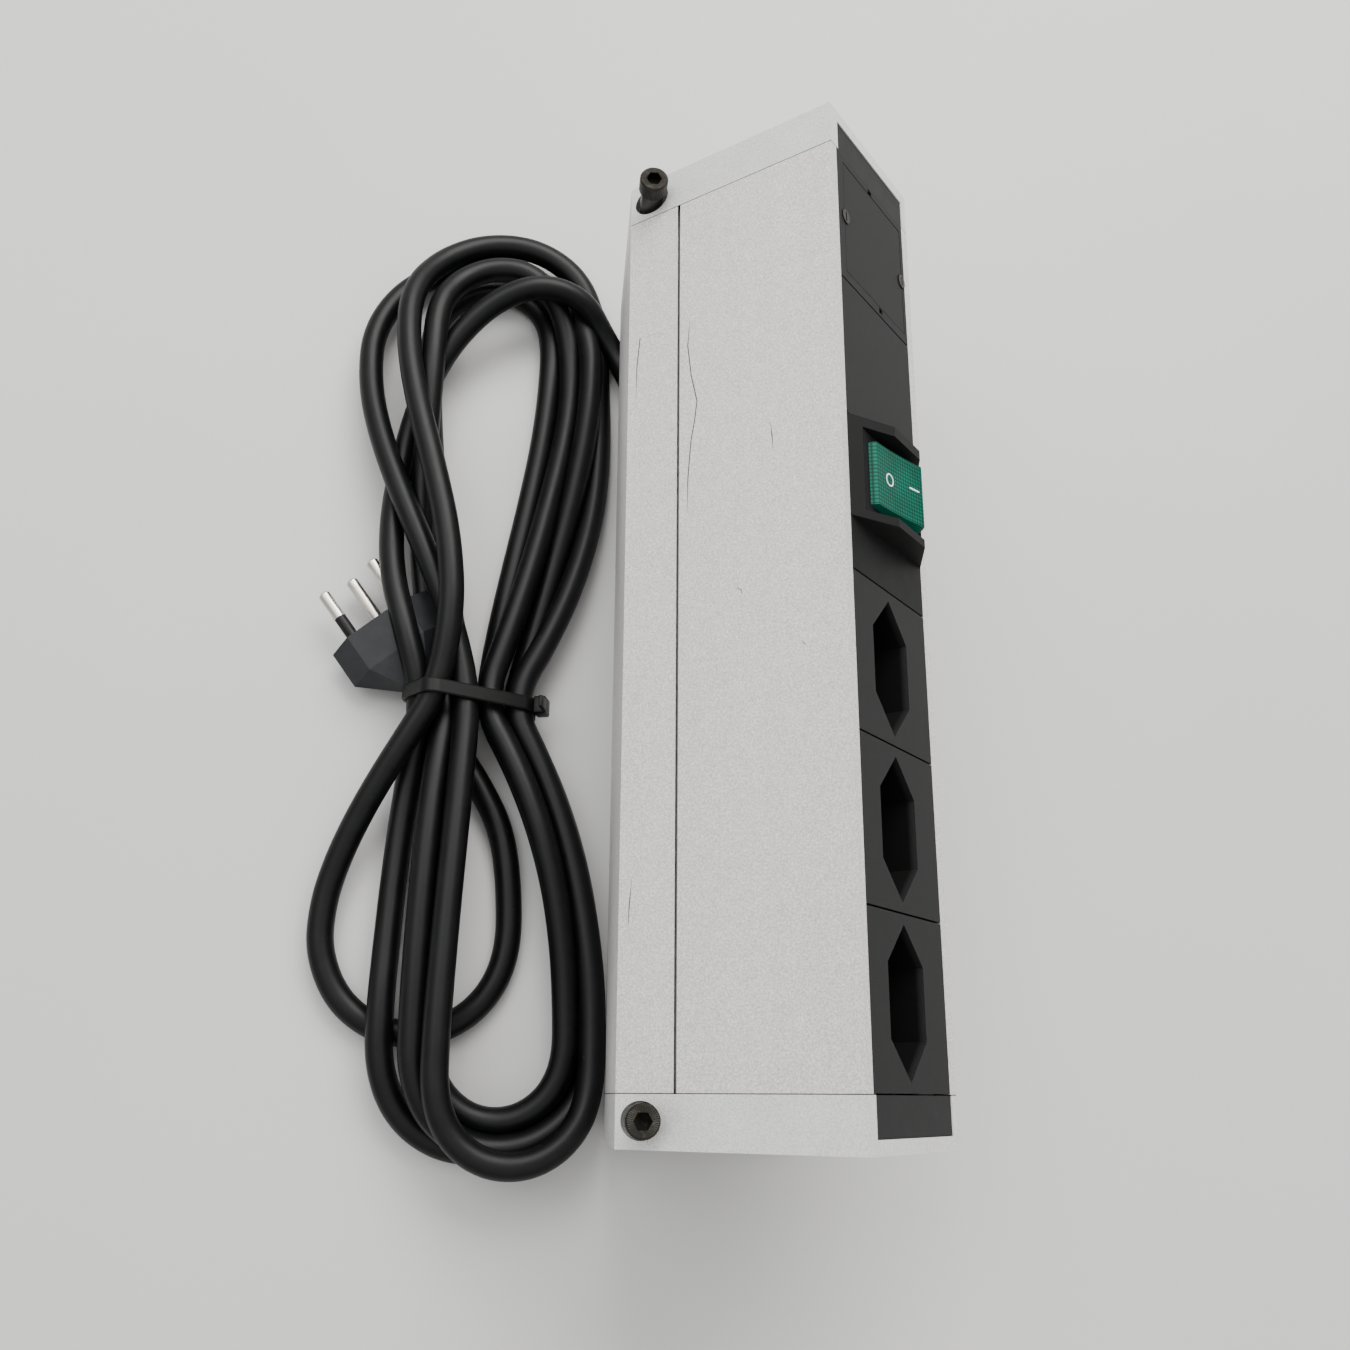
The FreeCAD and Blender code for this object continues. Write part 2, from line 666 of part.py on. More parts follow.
def accessory_cover():
    plate = cover_box(0, -2.2, -0.05)
    for across in CLIP_ACROSS:
        plate = plate.cut(rod(CLIP_R + 0.15, Vector(across, clip_along(), -3), Z_AXIS, 5))
    return on_socket_face(plate)


def cover_clips():
    clips = []
    for across in CLIP_ACROSS:
        head = rod(CLIP_R, Vector(across, clip_along(), -1.2), Z_AXIS, 1.5)
        stem = rod(0.9, Vector(across, clip_along(), -PLATE), Z_AXIS, 2.5)
        slot = box(across - 0.3, across + 0.3, clip_along() - 1.5, clip_along() + 1.5, -0.3, 1)
        clips.append(on_socket_face(head.fuse(stem).cut(slot)))
    return Part.makeCompound(clips)


# ---------------------------------------------------------------- wiring inside

WIRE_X = 9.4
WIRE_Y = 184.0
WIRE_R = 1.1
WIRE_HEIGHT = 3.4          # above the wedge's underside
BLOCK_START = 27.0
GLAND_Y = 190.0
GLAND_Z = 29.0
SLEEVE_LENGTH = 21.0
LEG_MIDDLE = LEG_DEPTH / 2


TERMINALS = {"live": 217.5, "neutral": 209.0, "earth": 200.5}


def terminal_block():
    block = box(BLOCK_START, BLOCK_START + 12.5, 196, 222, HEEL + WALL, HEEL + WALL + 8)
    for along in TERMINALS.values():
        block = block.cut(rod(2.2, Vector(BLOCK_START + 6, along, HEEL + 5), Z_AXIS, 12))
        block = block.cut(rod(1.35, Vector(15, along, HEEL + WIRE_HEIGHT), X_AXIS, 30))
    return block


def cord_anchor():
    """The strap that grips the lead's sheath in the leg, with its pressure block."""
    block = box(LEG_WALL + 0.2, LEG_DEPTH - LEG_WALL - 0.2, 178, 189.5, GLAND_Z - 5, GLAND_Z + 5)
    block = block.cut(rod(3.2, Vector(LEG_MIDDLE, 181, GLAND_Z), Y_AXIS, 20))
    return block.cut(box(WIRE_X - 1.6, WIRE_X + 1.6, WIRE_Y - 4.6, WIRE_Y + 4.6, GLAND_Z, GLAND_Z + 6))


def wire(kind):
    """One insulated wire from the anchor up the leg and through to the terminal block."""
    lane = {"live": 1, "neutral": 0, "earth": -1}[kind]
    along = WIRE_Y + 2.9 * lane
    turn = 21.4 - 2.9 * lane
    height = HEEL + WIRE_HEIGHT
    points = [
        Vector(WIRE_X, along, GLAND_Z + 6),
        Vector(WIRE_X, along, height),
        Vector(turn, along, height),
        Vector(turn, TERMINALS[kind], height),
        Vector(BLOCK_START + 4, TERMINALS[kind], height),
    ]
    return tube(points, WIRE_R, "wire_" + kind, 0.3)


def cable_gland():
    """Flange that fills the leg's duct, with a tapered sleeve along the lead."""
    flange = box(LEG_WALL, LEG_DEPTH - LEG_WALL, GLAND_Y, GLAND_Y + 4, GLAND_Z - 6, GLAND_Z + 6)
    root = Vector(LEG_MIDDLE, GLAND_Y + 4, GLAND_Z)
    cone = Part.makeCone(5.1, CORD_R + 0.45, SLEEVE_LENGTH, root, Y_AXIS)
    body = flange.fuse(cone)
    body = body.cut(rod(CORD_R, root, Y_AXIS, SLEEVE_LENGTH + 1))
    return body.cut(rod(3.0, Vector(LEG_MIDDLE, GLAND_Y - 1, GLAND_Z), Y_AXIS, 10))


# ---------------------------------------------------------------- mains lead

def tube(points, radius, label, share):
    """A round tube on straight runs joined by tangent arcs; prints its radii."""
    edges = []
    radii = []
    last = points[0]
    for before, corner, after in zip(points, points[1:], points[2:]):
        arrive = (corner - before).normalize()
        leave = (after - corner).normalize()
        turn = arrive.getAngle(leave)
        shorter = min(corner.distanceToPoint(before), corner.distanceToPoint(after))
        bend = share * shorter / math.tan(turn / 2)
        reach = share * shorter
        start = corner - arrive * reach
        end = corner + leave * reach
        inward = (leave - arrive).normalize()
        centre = corner + inward * (bend / math.cos(turn / 2))
        middle = centre - inward * bend
        edges.append(Part.LineSegment(last, start).toShape())
        edges.append(Part.Arc(start, middle, end).toShape())
        radii.append(round(bend, 1))
        last = end
    edges.append(Part.LineSegment(last, points[-1]).toShape())
    path = Part.Wire(edges)
    direction = points[1] - points[0]
    ring = Part.Wire([Part.makeCircle(radius, points[0], direction)])
    solid = path.makePipeShell([ring], True, True)
    expected = math.pi * radius * radius * path.Length
    print(label, "radii", radii, "length", round(path.Length, 1), "volume ratio",
          round(solid.Volume / expected, 4))
    return solid


LEAD_ROUTE = [
    Vector(LEG_MIDDLE, GLAND_Y + 4, GLAND_Z),
    Vector(LEG_MIDDLE, GLAND_Y + 38, GLAND_Z),
    Vector(6.4, 248, 12),
    Vector(2.5, 262, 4.8),
    Vector(-5.5, 275, 7.5),
    Vector(-15, 283, 14),
]

# Plan outline of the tied hank: (x, y) through which its rounded edge passes
HANK_OUTLINE = [
    (-27, 140), (-24, 165), (-10, 200), (-1.2, 240), (-4, 268), (-14, 290), (-30, 303), (-47, 307),
    (-66, 301), (-84, 290), (-91, 270), (-86, 245), (-77, 220), (-75, 190), (-66, 150), (-66, 128),
    (-80, 105), (-90, 80), (-90, 55), (-76, 32), (-62, 4), (-40, -9), (-18, -12), (-2.5, 8),
    (-1.2, 50), (-14, 95), (-25, 122),
]
CLEAR_OF_STRIP = 0.6
HANK_HEIGHT = 22.0
WAIST_HEIGHT = 25.0
TIE_Y = 134.0
TIE_LEFT = -66.8
TIE_RIGHT = -26.2
TIE_LOW = 0.25
TIE_HIGH = 27.0
TIE_THICK = 1.2
TIE_RADIUS = 6.5
PLUG_PLACE = Vector(-77.3, 160.5, 11.0)
PLUG_AZIMUTH = 37.0        # direction from the live to the neutral pin, degrees from x
PLUG_ROLL = -10.0
PLUG_PITCH = 4.0


def cord_hank():
    points = [Vector(x, y, 0.2) for x, y in HANK_OUTLINE]
    curve = Part.BSplineCurve()
    curve.interpolate(points, True)
    face = Part.Face(Part.Wire([curve.toShape()]))
    body = face.extrude(Vector(0, 0, HANK_HEIGHT))
    waist = box(-65, -28, 118, 160, 0.2, WAIST_HEIGHT)
    body = body.fuse(waist).cut(box(-CLEAR_OF_STRIP, 30, -50, LENGTH + 50, -1, 60))
    end = LEAD_ROUTE[-1]
    heading = (LEAD_ROUTE[-1] - LEAD_ROUTE[-2]).normalize()
    body = body.cut(slab_behind(end, heading, 60, 26))
    body = body.cut(box(-100, 0, TIE_Y - 3.5, TIE_Y + 3.5, -1, 60))
    core = rounded_band(
        TIE_LEFT + TIE_THICK, TIE_RIGHT - TIE_THICK, TIE_LOW + TIE_THICK, TIE_HIGH - TIE_THICK,
        TIE_Y - 3.5, TIE_Y + 3.5, TIE_RADIUS - TIE_THICK)
    body = body.fuse(core)
    body = body.cut(placed_plug(box(-22, 22, -PLUG_BACK, 24, -30, 30)))
    return max(body.Solids, key=lambda solid: solid.Volume)


def slab_behind(point, heading, length, width):
    """A block that ends in a face square to heading at point, and reaches backwards from it."""
    block = box(-length, 0, -width / 2, width / 2, -40, 40)
    flat = Vector(heading.x, heading.y, 0)
    block.Placement = FreeCAD.Placement(point, FreeCAD.Rotation(X_AXIS, flat))
    pitch = math.degrees(math.asin(heading.z))
    side = Vector(-flat.y, flat.x, 0)
    block.rotate(point, side, -pitch)
    return block


# ---------------------------------------------------------------- plug

PLUG_HALF = 18.4
PLUG_FLAT = 10.5
PLUG_THICK = 14.5
PLUG_FRONT = 13.0
PLUG_BACK = 24.0
PIN_R = 2.0
PIN_LENGTH = 19.0
PIN_SLEEVE = 9.0


def placed_plug(shape):
    """Places a shape drawn round the plug: x from live to neutral, y along the pins, z up."""
    placed = shape.copy()
    roll = FreeCAD.Rotation(Y_AXIS, PLUG_ROLL)
    pitch = FreeCAD.Rotation(X_AXIS, PLUG_PITCH)
    azimuth = FreeCAD.Rotation(Z_AXIS, PLUG_AZIMUTH)
    turn = azimuth.multiply(pitch).multiply(roll)
    placed.Placement = FreeCAD.Placement(PLUG_PLACE, turn).multiply(placed.Placement)
    return placed


def plug_section(y, half, flat, thick):
    """Six-sided outline across the plug at y."""
    corners = [
        (-half, 0), (-flat, thick / 2), (flat, thick / 2),
        (half, 0), (flat, -thick / 2), (-flat, -thick / 2),
    ]
    points = [Vector(x, y, z) for x, z in corners]
    return Part.makePolygon(points + points[:1])


def plug_body():
    sections = [
        plug_section(0, PLUG_HALF, PLUG_FLAT, PLUG_THICK),
        plug_section(-PLUG_FRONT, PLUG_HALF, PLUG_FLAT, PLUG_THICK),
    ]
    front = Part.makeLoft(sections, True, True)
    taper = Part.makeLoft(
        [
            plug_section(-PLUG_FRONT, PLUG_HALF, PLUG_FLAT, PLUG_THICK),
            plug_section(-PLUG_BACK, 6.4, 4.2, 10.4),
        ],
        True, True)
    body = joined([front, taper])
    for x, z in ((-PIN_HALF_PITCH, 0), (PIN_HALF_PITCH, 0), (0, -5.0)):
        body = body.cut(rod(PIN_R, Vector(x, -8, z), Y_AXIS, 9))
    return placed_plug(body)


def plug_pin(x, z, sleeved):
    core = rod(PIN_R, Vector(x, -8, z), Y_AXIS, 8 + PIN_LENGTH)
    tip = core.Edges[0]
    for edge in core.Edges:
        if edge.BoundBox.YMin > PIN_LENGTH - 0.1:
            tip = edge
    core = core.makeChamfer(0.7, [tip])
    if sleeved:
        core = core.cut(sleeve_ring(x, z))
    return placed_plug(core)


def sleeve_ring(x, z):
    ring = rod(PIN_R, Vector(x, 0, z), Y_AXIS, PIN_SLEEVE)
    return ring.cut(rod(PIN_R - 0.5, Vector(x, -1, z), Y_AXIS, PIN_SLEEVE + 2))


def cable_tie():
    """A band drawn tight round the hank's waist, with its locking head at the right."""
    outer = rounded_band(TIE_LEFT, TIE_RIGHT, TIE_LOW, TIE_HIGH, TIE_Y - 2.4, TIE_Y + 2.4, TIE_RADIUS)
    inner = rounded_band(
        TIE_LEFT + TIE_THICK, TIE_RIGHT - TIE_THICK, TIE_LOW + TIE_THICK, TIE_HIGH - TIE_THICK,
        TIE_Y - 4, TIE_Y + 4, TIE_RADIUS - TIE_THICK)
    head = box(TIE_RIGHT - 0.2, TIE_RIGHT + 4.4, TIE_Y - 3, TIE_Y + 3, 8.0, 15.0)
    tail = box(TIE_RIGHT + 1.0, TIE_RIGHT + 2.4, TIE_Y - 2, TIE_Y + 2, 14.0, 21.0)
    return outer.cut(inner).fuse(head).fuse(tail).removeSplitter()


def rounded_band(x0, x1, z0, z1, y0, y1, radius):
    block = box(x0, x1, y0, y1, z0, z1)
    along = [edge for edge in block.Edges if edge.BoundBox.YLength > (y1 - y0) * 0.9]
    return block.makeFillet(radius, along)


def main():
    os.makedirs("parts", exist_ok=True)
    save("rear_profile", rear_profile())
    save("housing_profile", housing_profile())
    near_pieces = {
        "end_cap": near_cap(),
        "cap_inset": cap_inset(),
        "clamp_screw": clamp_screw(),
        "clamp_sleeve": clamp_sleeve(),
        "clamp_jaw": clamp_jaw(),
        "jaw_nut": jaw_nut(),
        "jaw_pad": jaw_pad(),
    }
    for name, shape in near_pieces.items():
        save(name + "_near", shape)
        save(name + "_far", to_far_end(shape))
    save("cap_screws", cap_screws())
    for row in range(3):
        save("socket_module_" + str(row + 1), socket_module(row))
    for kind in ("live", "neutral", "earth"):
        save("busbar_" + kind, busbar(kind))
        save("wire_" + kind, wire(kind))
    save("switch_module", switch_module())
    save("switch_shell", switch_shell())
    save("rocker", rocker())
    save("switch_lamp", switch_lamp())
    save("switch_terminals", switch_terminals())
    save("blank_module", blank_module())
    save("accessory_frame", accessory_frame())
    save("accessory_cover", accessory_cover())
    save("cover_clips", cover_clips())
    save("terminal_block", terminal_block())
    save("cord_anchor", cord_anchor())
    save("cable_gland", cable_gland())
    save("cord_lead", tube(LEAD_ROUTE, CORD_R, "cord_lead", 0.45))
    save("cord_hank", cord_hank())
    save("cable_tie", cable_tie())
    save("plug_body", plug_body())
    save("plug_pins", Part.makeCompound(
        [plug_pin(-PIN_HALF_PITCH, 0, True), plug_pin(PIN_HALF_PITCH, 0, True)]))
    save("plug_earth_pin", plug_pin(0, -5.0, False))
    save("plug_pin_sleeves", Part.makeCompound(
        [placed_plug(sleeve_ring(x, 0)) for x in (-PIN_HALF_PITCH, PIN_HALF_PITCH)]))


main()
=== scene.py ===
import math

import bmesh
import bpy
import numpy as np
from mathutils import Matrix, Vector


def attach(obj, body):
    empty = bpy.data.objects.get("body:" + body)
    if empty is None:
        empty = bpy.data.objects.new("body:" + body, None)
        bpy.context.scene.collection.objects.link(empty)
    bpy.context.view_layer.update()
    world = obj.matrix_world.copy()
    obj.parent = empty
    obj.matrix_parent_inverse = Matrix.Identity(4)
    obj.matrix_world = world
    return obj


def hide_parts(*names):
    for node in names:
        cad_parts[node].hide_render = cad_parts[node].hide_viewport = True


# Looks for the desk-edge power strip.  Lengths in this file are in millimetres in the strip's own
# coordinates (x from the back of the leg, y from the near end, z up from the table), the same as in
# part.py, and place() turns them into the frame's metres.

HALF_WIDTH = 42.95         # from the back of the leg to the frame's origin
HALF_LENGTH = 141.5
PLAIN_FACE = 69.5          # up the plain face, from the back of the leg to the ridge
SLOPE = math.radians(39.2)
HEEL = 79.0                # height of the plain face's low edge
RIDGE_X = PLAIN_FACE * math.cos(SLOPE)
RIDGE_Z = HEEL + PLAIN_FACE * math.sin(SLOPE)
SCREW_X = 6.0
SCREW_IN = 6.8             # from each end of the strip to the middle of its clamp screw
ROCKER_TILT = math.radians(10.4)

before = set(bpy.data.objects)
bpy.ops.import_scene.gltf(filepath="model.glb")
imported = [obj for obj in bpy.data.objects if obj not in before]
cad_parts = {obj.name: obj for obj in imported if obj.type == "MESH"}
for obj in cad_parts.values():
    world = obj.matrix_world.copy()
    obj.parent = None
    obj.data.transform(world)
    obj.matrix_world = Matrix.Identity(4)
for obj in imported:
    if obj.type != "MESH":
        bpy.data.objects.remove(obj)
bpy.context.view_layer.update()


def place(x, y, z):
    return Vector(((x - HALF_WIDTH) / 1000, (y - HALF_LENGTH) / 1000, z / 1000))


def on_socket_face(across, along, out):
    """A point given on the socket face: across from the ridge, along the strip, outwards."""
    x = RIDGE_X + across * math.sin(SLOPE) + out * math.cos(SLOPE)
    z = RIDGE_Z - across * math.cos(SLOPE) + out * math.sin(SLOPE)
    return place(x, along, z)


# ---------------------------------------------------------------- camera, floor and light

CAMERA_PLACE = (-16.6, 12.5, 422.3)
CAMERA_FORWARD = (0.0857, 0.3072, -0.9478)
CAMERA_UP = (-0.033, 0.9516, 0.3054)
SENSOR = 36.0
LENS = 34.83

WALLS_UP_TO = 0.15         # shares of the way up the sky, between which walls turn into ceiling
CEILING_FROM = 0.85
WALL_LEVEL = 0.30
ROOM_STRENGTH = 1.42
FLOOR_REACH = 2.5          # metres from the strip to the edge of the floor


def add_camera():
    data = bpy.data.cameras.new("camera")
    data.sensor_width = SENSOR
    data.lens = LENS
    data.clip_start = 0.01
    camera = bpy.data.objects.new("camera", data)
    bpy.context.collection.objects.link(camera)
    forward = Vector(CAMERA_FORWARD).normalized()
    up = Vector(CAMERA_UP)
    right = forward.cross(up).normalized()
    up = right.cross(forward)
    turn = Matrix((right, up, -forward)).transposed().to_4x4()
    camera.matrix_world = Matrix.Translation(place(*CAMERA_PLACE)) @ turn
    bpy.context.scene.camera = camera


def add_area(name, location, target, size, energy, tint):
    data = bpy.data.lights.new(name, "AREA")
    data.shape = "RECTANGLE"
    data.size = size[0]
    data.size_y = size[1]
    data.energy = energy
    data.color = tint
    light = bpy.data.objects.new(name, data)
    bpy.context.collection.objects.link(light)
    light.location = location
    aim = Vector(target) - Vector(location)
    light.rotation_euler = aim.to_track_quat("-Z", "Y").to_euler()


def add_world():
    """A room with a bright ceiling and dimmer walls, so that light falls off beside tall things."""
    world = bpy.data.worlds.new("room")
    world.use_nodes = True
    tree = world.node_tree
    coordinates = tree.nodes.new("ShaderNodeTexCoord")
    split = tree.nodes.new("ShaderNodeSeparateXYZ")
    ramp = tree.nodes.new("ShaderNodeValToRGB")
    tree.links.new(coordinates.outputs["Generated"], split.inputs["Vector"])
    tree.links.new(split.outputs["Z"], ramp.inputs["Fac"])
    walls, ceiling = ramp.color_ramp.elements
    walls.position = WALLS_UP_TO
    walls.color = (WALL_LEVEL, WALL_LEVEL, WALL_LEVEL, 1)
    ceiling.position = CEILING_FROM
    ceiling.color = (1.0, 0.995, 0.98, 1)
    background = tree.nodes["Background"]
    tree.links.new(ramp.outputs["Color"], background.inputs["Color"])
    background.inputs["Strength"].default_value = ROOM_STRENGTH
    bpy.context.scene.world = world


# ---------------------------------------------------------------- materials

class Look:
    """A procedural material being built on one Principled shader."""

    def __init__(self, name):
        self.material = bpy.data.materials.new(name)
        self.material.use_nodes = True
        self.tree = self.material.node_tree
        self.shader = self.tree.nodes["Principled BSDF"]
        coordinates = self.tree.nodes.new("ShaderNodeTexCoord")
        self.position = coordinates.outputs["Object"]
        self.height = None

    def node(self, kind, **settings):
        made = self.tree.nodes.new(kind)
        for key, value in settings.items():
            setattr(made, key, value)
        return made

    def link(self, output, socket):
        self.tree.links.new(output, socket)

    def set(self, **values):
        for key, value in values.items():
            self.shader.inputs[key.replace("_", " ")].default_value = value

    def math(self, operation, first, second=None):
        node = self.node("ShaderNodeMath", operation=operation)
        for socket, value in ((node.inputs[0], first), (node.inputs[1], second)):
            if value is None:
                continue
            if isinstance(value, (int, float)):
                socket.default_value = value
            else:
                self.link(value, socket)
        return node.outputs[0]

    def along(self, direction, offset=0.0):
        """Distance along a direction in metres, as a number output."""
        node = self.node("ShaderNodeVectorMath", operation="DOT_PRODUCT")
        self.link(self.position, node.inputs[0])
        node.inputs[1].default_value = direction
        return self.math("SUBTRACT", node.outputs["Value"], offset)

    def noise(self, scale, detail=3.0, rough=0.6, stretch=(1, 1, 1)):
        mapping = self.node("ShaderNodeMapping")
        mapping.inputs["Scale"].default_value = stretch
        self.link(self.position, mapping.inputs["Vector"])
        node = self.node("ShaderNodeTexNoise")
        node.inputs["Scale"].default_value = scale
        node.inputs["Detail"].default_value = detail
        node.inputs["Roughness"].default_value = rough
        self.link(mapping.outputs["Vector"], node.inputs["Vector"])
        return node.outputs["Fac"]

    def ramp(self, factor, stops):
        node = self.node("ShaderNodeValToRGB")
        elements = node.color_ramp.elements
        while len(elements) < len(stops):
            elements.new(0.5)
        for element, (place_on_ramp, colour) in zip(elements, stops):
            element.position = place_on_ramp
            element.color = colour
        self.link(factor, node.inputs["Fac"])
        return node.outputs["Color"]

    def mix(self, factor, first, second):
        node = self.node("ShaderNodeMix", data_type="RGBA")
        self.link(factor, node.inputs[0])
        for socket, value in ((node.inputs[6], first), (node.inputs[7], second)):
            if isinstance(value, tuple):
                socket.default_value = value
            else:
                self.link(value, socket)
        return node.outputs[2]

    def colour(self, output):
        self.link(output, self.shader.inputs["Base Color"])

    def roughness(self, factor, low, high):
        node = self.node("ShaderNodeMapRange")
        node.inputs["To Min"].default_value = low
        node.inputs["To Max"].default_value = high
        self.link(factor, node.inputs["Value"])
        self.link(node.outputs["Result"], self.shader.inputs["Roughness"])

    def bump(self, height, strength, distance_mm):
        node = self.node("ShaderNodeBump")
        node.inputs["Strength"].default_value = strength
        node.inputs["Distance"].default_value = distance_mm / 1000
        self.link(height, node.inputs["Height"])
        if self.height is not None:
            self.link(self.height, node.inputs["Normal"])
        self.height = node.outputs["Normal"]
        self.link(self.height, self.shader.inputs["Normal"])


JOINT_Y = 128.3            # from the middle of the strip to the joint with an end cap
JOINT_HALF = 0.17          # half the width of that joint's dark line
RECESS_FULL_SHADE = 2.2          # this far below the socket face, the painted shade in the recesses is full black
RECESS_SHADE_START = 0.6          # and from this far below it up, its own colour, with no painted shade
GRID_PITCH = 0.0022        # of the wave behind the rocker's moulded grid, in metres
KNURLS = 22.0


def grey(level, warm=0.0):
    return (level * (1 + warm), level, level * (1 - warm), 1)


def multiply(look, first, second):
    product = look.node("ShaderNodeMix", data_type="RGBA", blend_type="MULTIPLY")
    product.inputs[0].default_value = 1.0
    look.link(first, product.inputs[6])
    look.link(second, product.inputs[7])
    return product.outputs[2]


def joint_shade(look):
    """White, going dark in the hairline joint between the profiles and each end cap."""
    middle = look.along((0.0, 1.0, 0.0))
    past_joint = look.math("SUBTRACT", look.math("ABSOLUTE", middle), JOINT_Y / 1000)
    from_joint = look.math("ABSOLUTE", past_joint)
    width = look.node("ShaderNodeMapRange")
    width.inputs["From Min"].default_value = JOINT_HALF / 2000
    width.inputs["From Max"].default_value = JOINT_HALF / 1000
    look.link(from_joint, width.inputs["Value"])
    return look.ramp(width.outputs["Result"], [(0.0, grey(0.02)), (1.0, grey(1.0))])


def blasted_aluminium():
    """Bead-blasted, anodised aluminium: a fine sparkle, soft mottling and faint extrusion streaks."""
    look = Look("blasted_aluminium")
    sparkle = look.noise(1900, 3.0, 0.75)
    mottle = look.noise(260, 4.0, 0.6)
    streaks = look.noise(60, 4.0, 0.6, (1, 0.02, 1))
    grains = [(0.34, grey(0.46, 0.02)), (0.5, grey(0.62, 0.02)), (0.66, grey(0.84, 0.02))]
    base = look.ramp(sparkle, grains)
    base = multiply(look, base, look.ramp(mottle, [(0.3, grey(0.93)), (0.7, grey(1.0))]))
    base = multiply(look, base, look.ramp(streaks, [(0.3, grey(0.93)), (0.7, grey(1.0))]))
    look.colour(multiply(look, base, joint_shade(look)))
    look.set(Metallic=0.3)
    look.roughness(sparkle, 0.42, 0.62)
    look.bump(sparkle, 0.35, 0.05)
    return look.material


def cap_metal():
    """The end caps are a little smoother and lighter than the profiles."""
    look = Look("cap_metal")
    sparkle = look.noise(2200, 3.0, 0.7)
    clouds = look.noise(90, 3.0, 0.5)
    base = look.ramp(sparkle, [(0.34, grey(0.52, 0.006)), (0.66, grey(0.78, 0.006))])
    base = multiply(look, base, look.ramp(clouds, [(0.3, grey(0.93)), (0.7, grey(1.0))]))
    look.colour(multiply(look, base, joint_shade(look)))
    look.set(Metallic=0.3)
    look.roughness(clouds, 0.40, 0.5)
    look.bump(sparkle, 0.2, 0.04)
    return look.material


def module_plastic():
    """Charcoal moulded plastic with a fine spark-eroded grain; painted shade makes it black down in the
    recesses.
    """
    look = Look("module_plastic")
    grain = look.noise(3000, 3.0, 0.6)
    dust = look.noise(420, 6.0, 0.75)
    face = look.ramp(grain, [(0.3, grey(0.0055, -0.02)), (0.7, grey(0.0145, -0.02))])
    dusty = look.ramp(dust, [(0.68, grey(0.0)), (0.80, grey(1.0))])
    worn = look.mix(look.math("MULTIPLY", dusty, 0.2), face, grey(0.09))
    # Painted shade: below the socket face the colour fades to black, and the plastic turns fully rough,
    # where the recesses' walls shade them.
    outward = (math.cos(SLOPE), 0.0, math.sin(SLOPE))
    surface = on_socket_face(0, 0, 0).dot(Vector(outward))
    depth = look.along(outward, surface)
    recess_shade_ramp = look.node("ShaderNodeMapRange")
    recess_shade_ramp.inputs["From Min"].default_value = -RECESS_FULL_SHADE / 1000
    recess_shade_ramp.inputs["From Max"].default_value = -RECESS_SHADE_START / 1000
    look.link(depth, recess_shade_ramp.inputs["Value"])
    look.colour(look.mix(recess_shade_ramp.outputs["Result"], grey(0.0), worn))
    rough = look.node("ShaderNodeMapRange")
    rough.inputs["To Min"].default_value = 1.0
    rough.inputs["To Max"].default_value = 0.58
    look.link(recess_shade_ramp.outputs["Result"], rough.inputs["Value"])
    look.link(rough.outputs["Result"], look.shader.inputs["Roughness"])
    look.set(Specular_IOR_Level=0.16)
    look.bump(grain, 0.35, 0.06)
    return look.material


def dark_plastic(name, level, rough, bump=0.2):
    """Fine-grained dark plastic or rubber, paler where it is rubbed."""
    look = Look(name)
    grain = look.noise(2500, 3.0, 0.6)
    wear = look.noise(180, 5.0, 0.7)
    base = look.ramp(grain, [(0.3, grey(level * 0.8, -0.03)), (0.7, grey(level * 1.2, -0.03))])
    rubbed = look.math("MULTIPLY", look.ramp(wear, [(0.62, grey(0)), (0.8, grey(1))]), 0.2)
    look.colour(look.mix(rubbed, base, grey(level * 3)))
    look.set(Specular_IOR_Level=0.18)
    look.roughness(wear, rough - 0.06, rough + 0.08)
    look.bump(grain, bump, 0.05)
    return look.material


def rocker_green():
    """Translucent green with the fine grid moulded on its inside, and a painted glow: its colour is
    also given out as light.
    """
    look = Look("rocker_green")
    fall = math.pi / 2 - SLOPE - ROCKER_TILT
    across = (math.cos(fall), 0.0, -math.sin(fall))
    lines = []
    for direction in (across, (0.0, 1.0, 0.0)):
        wave = look.math("SINE", look.math("MULTIPLY", look.along(direction), 2 * math.pi / GRID_PITCH))
        lines.append(look.math("POWER", look.math("ABSOLUTE", wave), 0.8))
    cells = look.math("MULTIPLY", lines[0], lines[1])
    clouds = look.noise(120, 3.0, 0.5)
    inner = look.ramp(clouds, [(0.3, (0.0, 0.070, 0.044, 1)), (0.7, (0.0, 0.120, 0.078, 1))])
    between = (0.0, 0.016, 0.010, 1)
    grid = look.mix(cells, between, inner)
    look.colour(grid)
    # Painted glow: the grid's colour also goes in as emission, though the rocker is switched off and
    # gives no light of its own.
    look.link(grid, look.shader.inputs["Emission Color"])
    look.set(Emission_Strength=0.4, Specular_IOR_Level=0.08)
    look.roughness(clouds, 0.30, 0.42)
    look.bump(cells, 0.12, 0.08)
    return look.material


def white_print():
    look = Look("white_print")
    speck = look.noise(1800, 2.0, 0.5)
    look.colour(look.ramp(speck, [(0.3, grey(0.70)), (0.7, grey(0.85))]))
    look.roughness(speck, 0.4, 0.5)
    return look.material


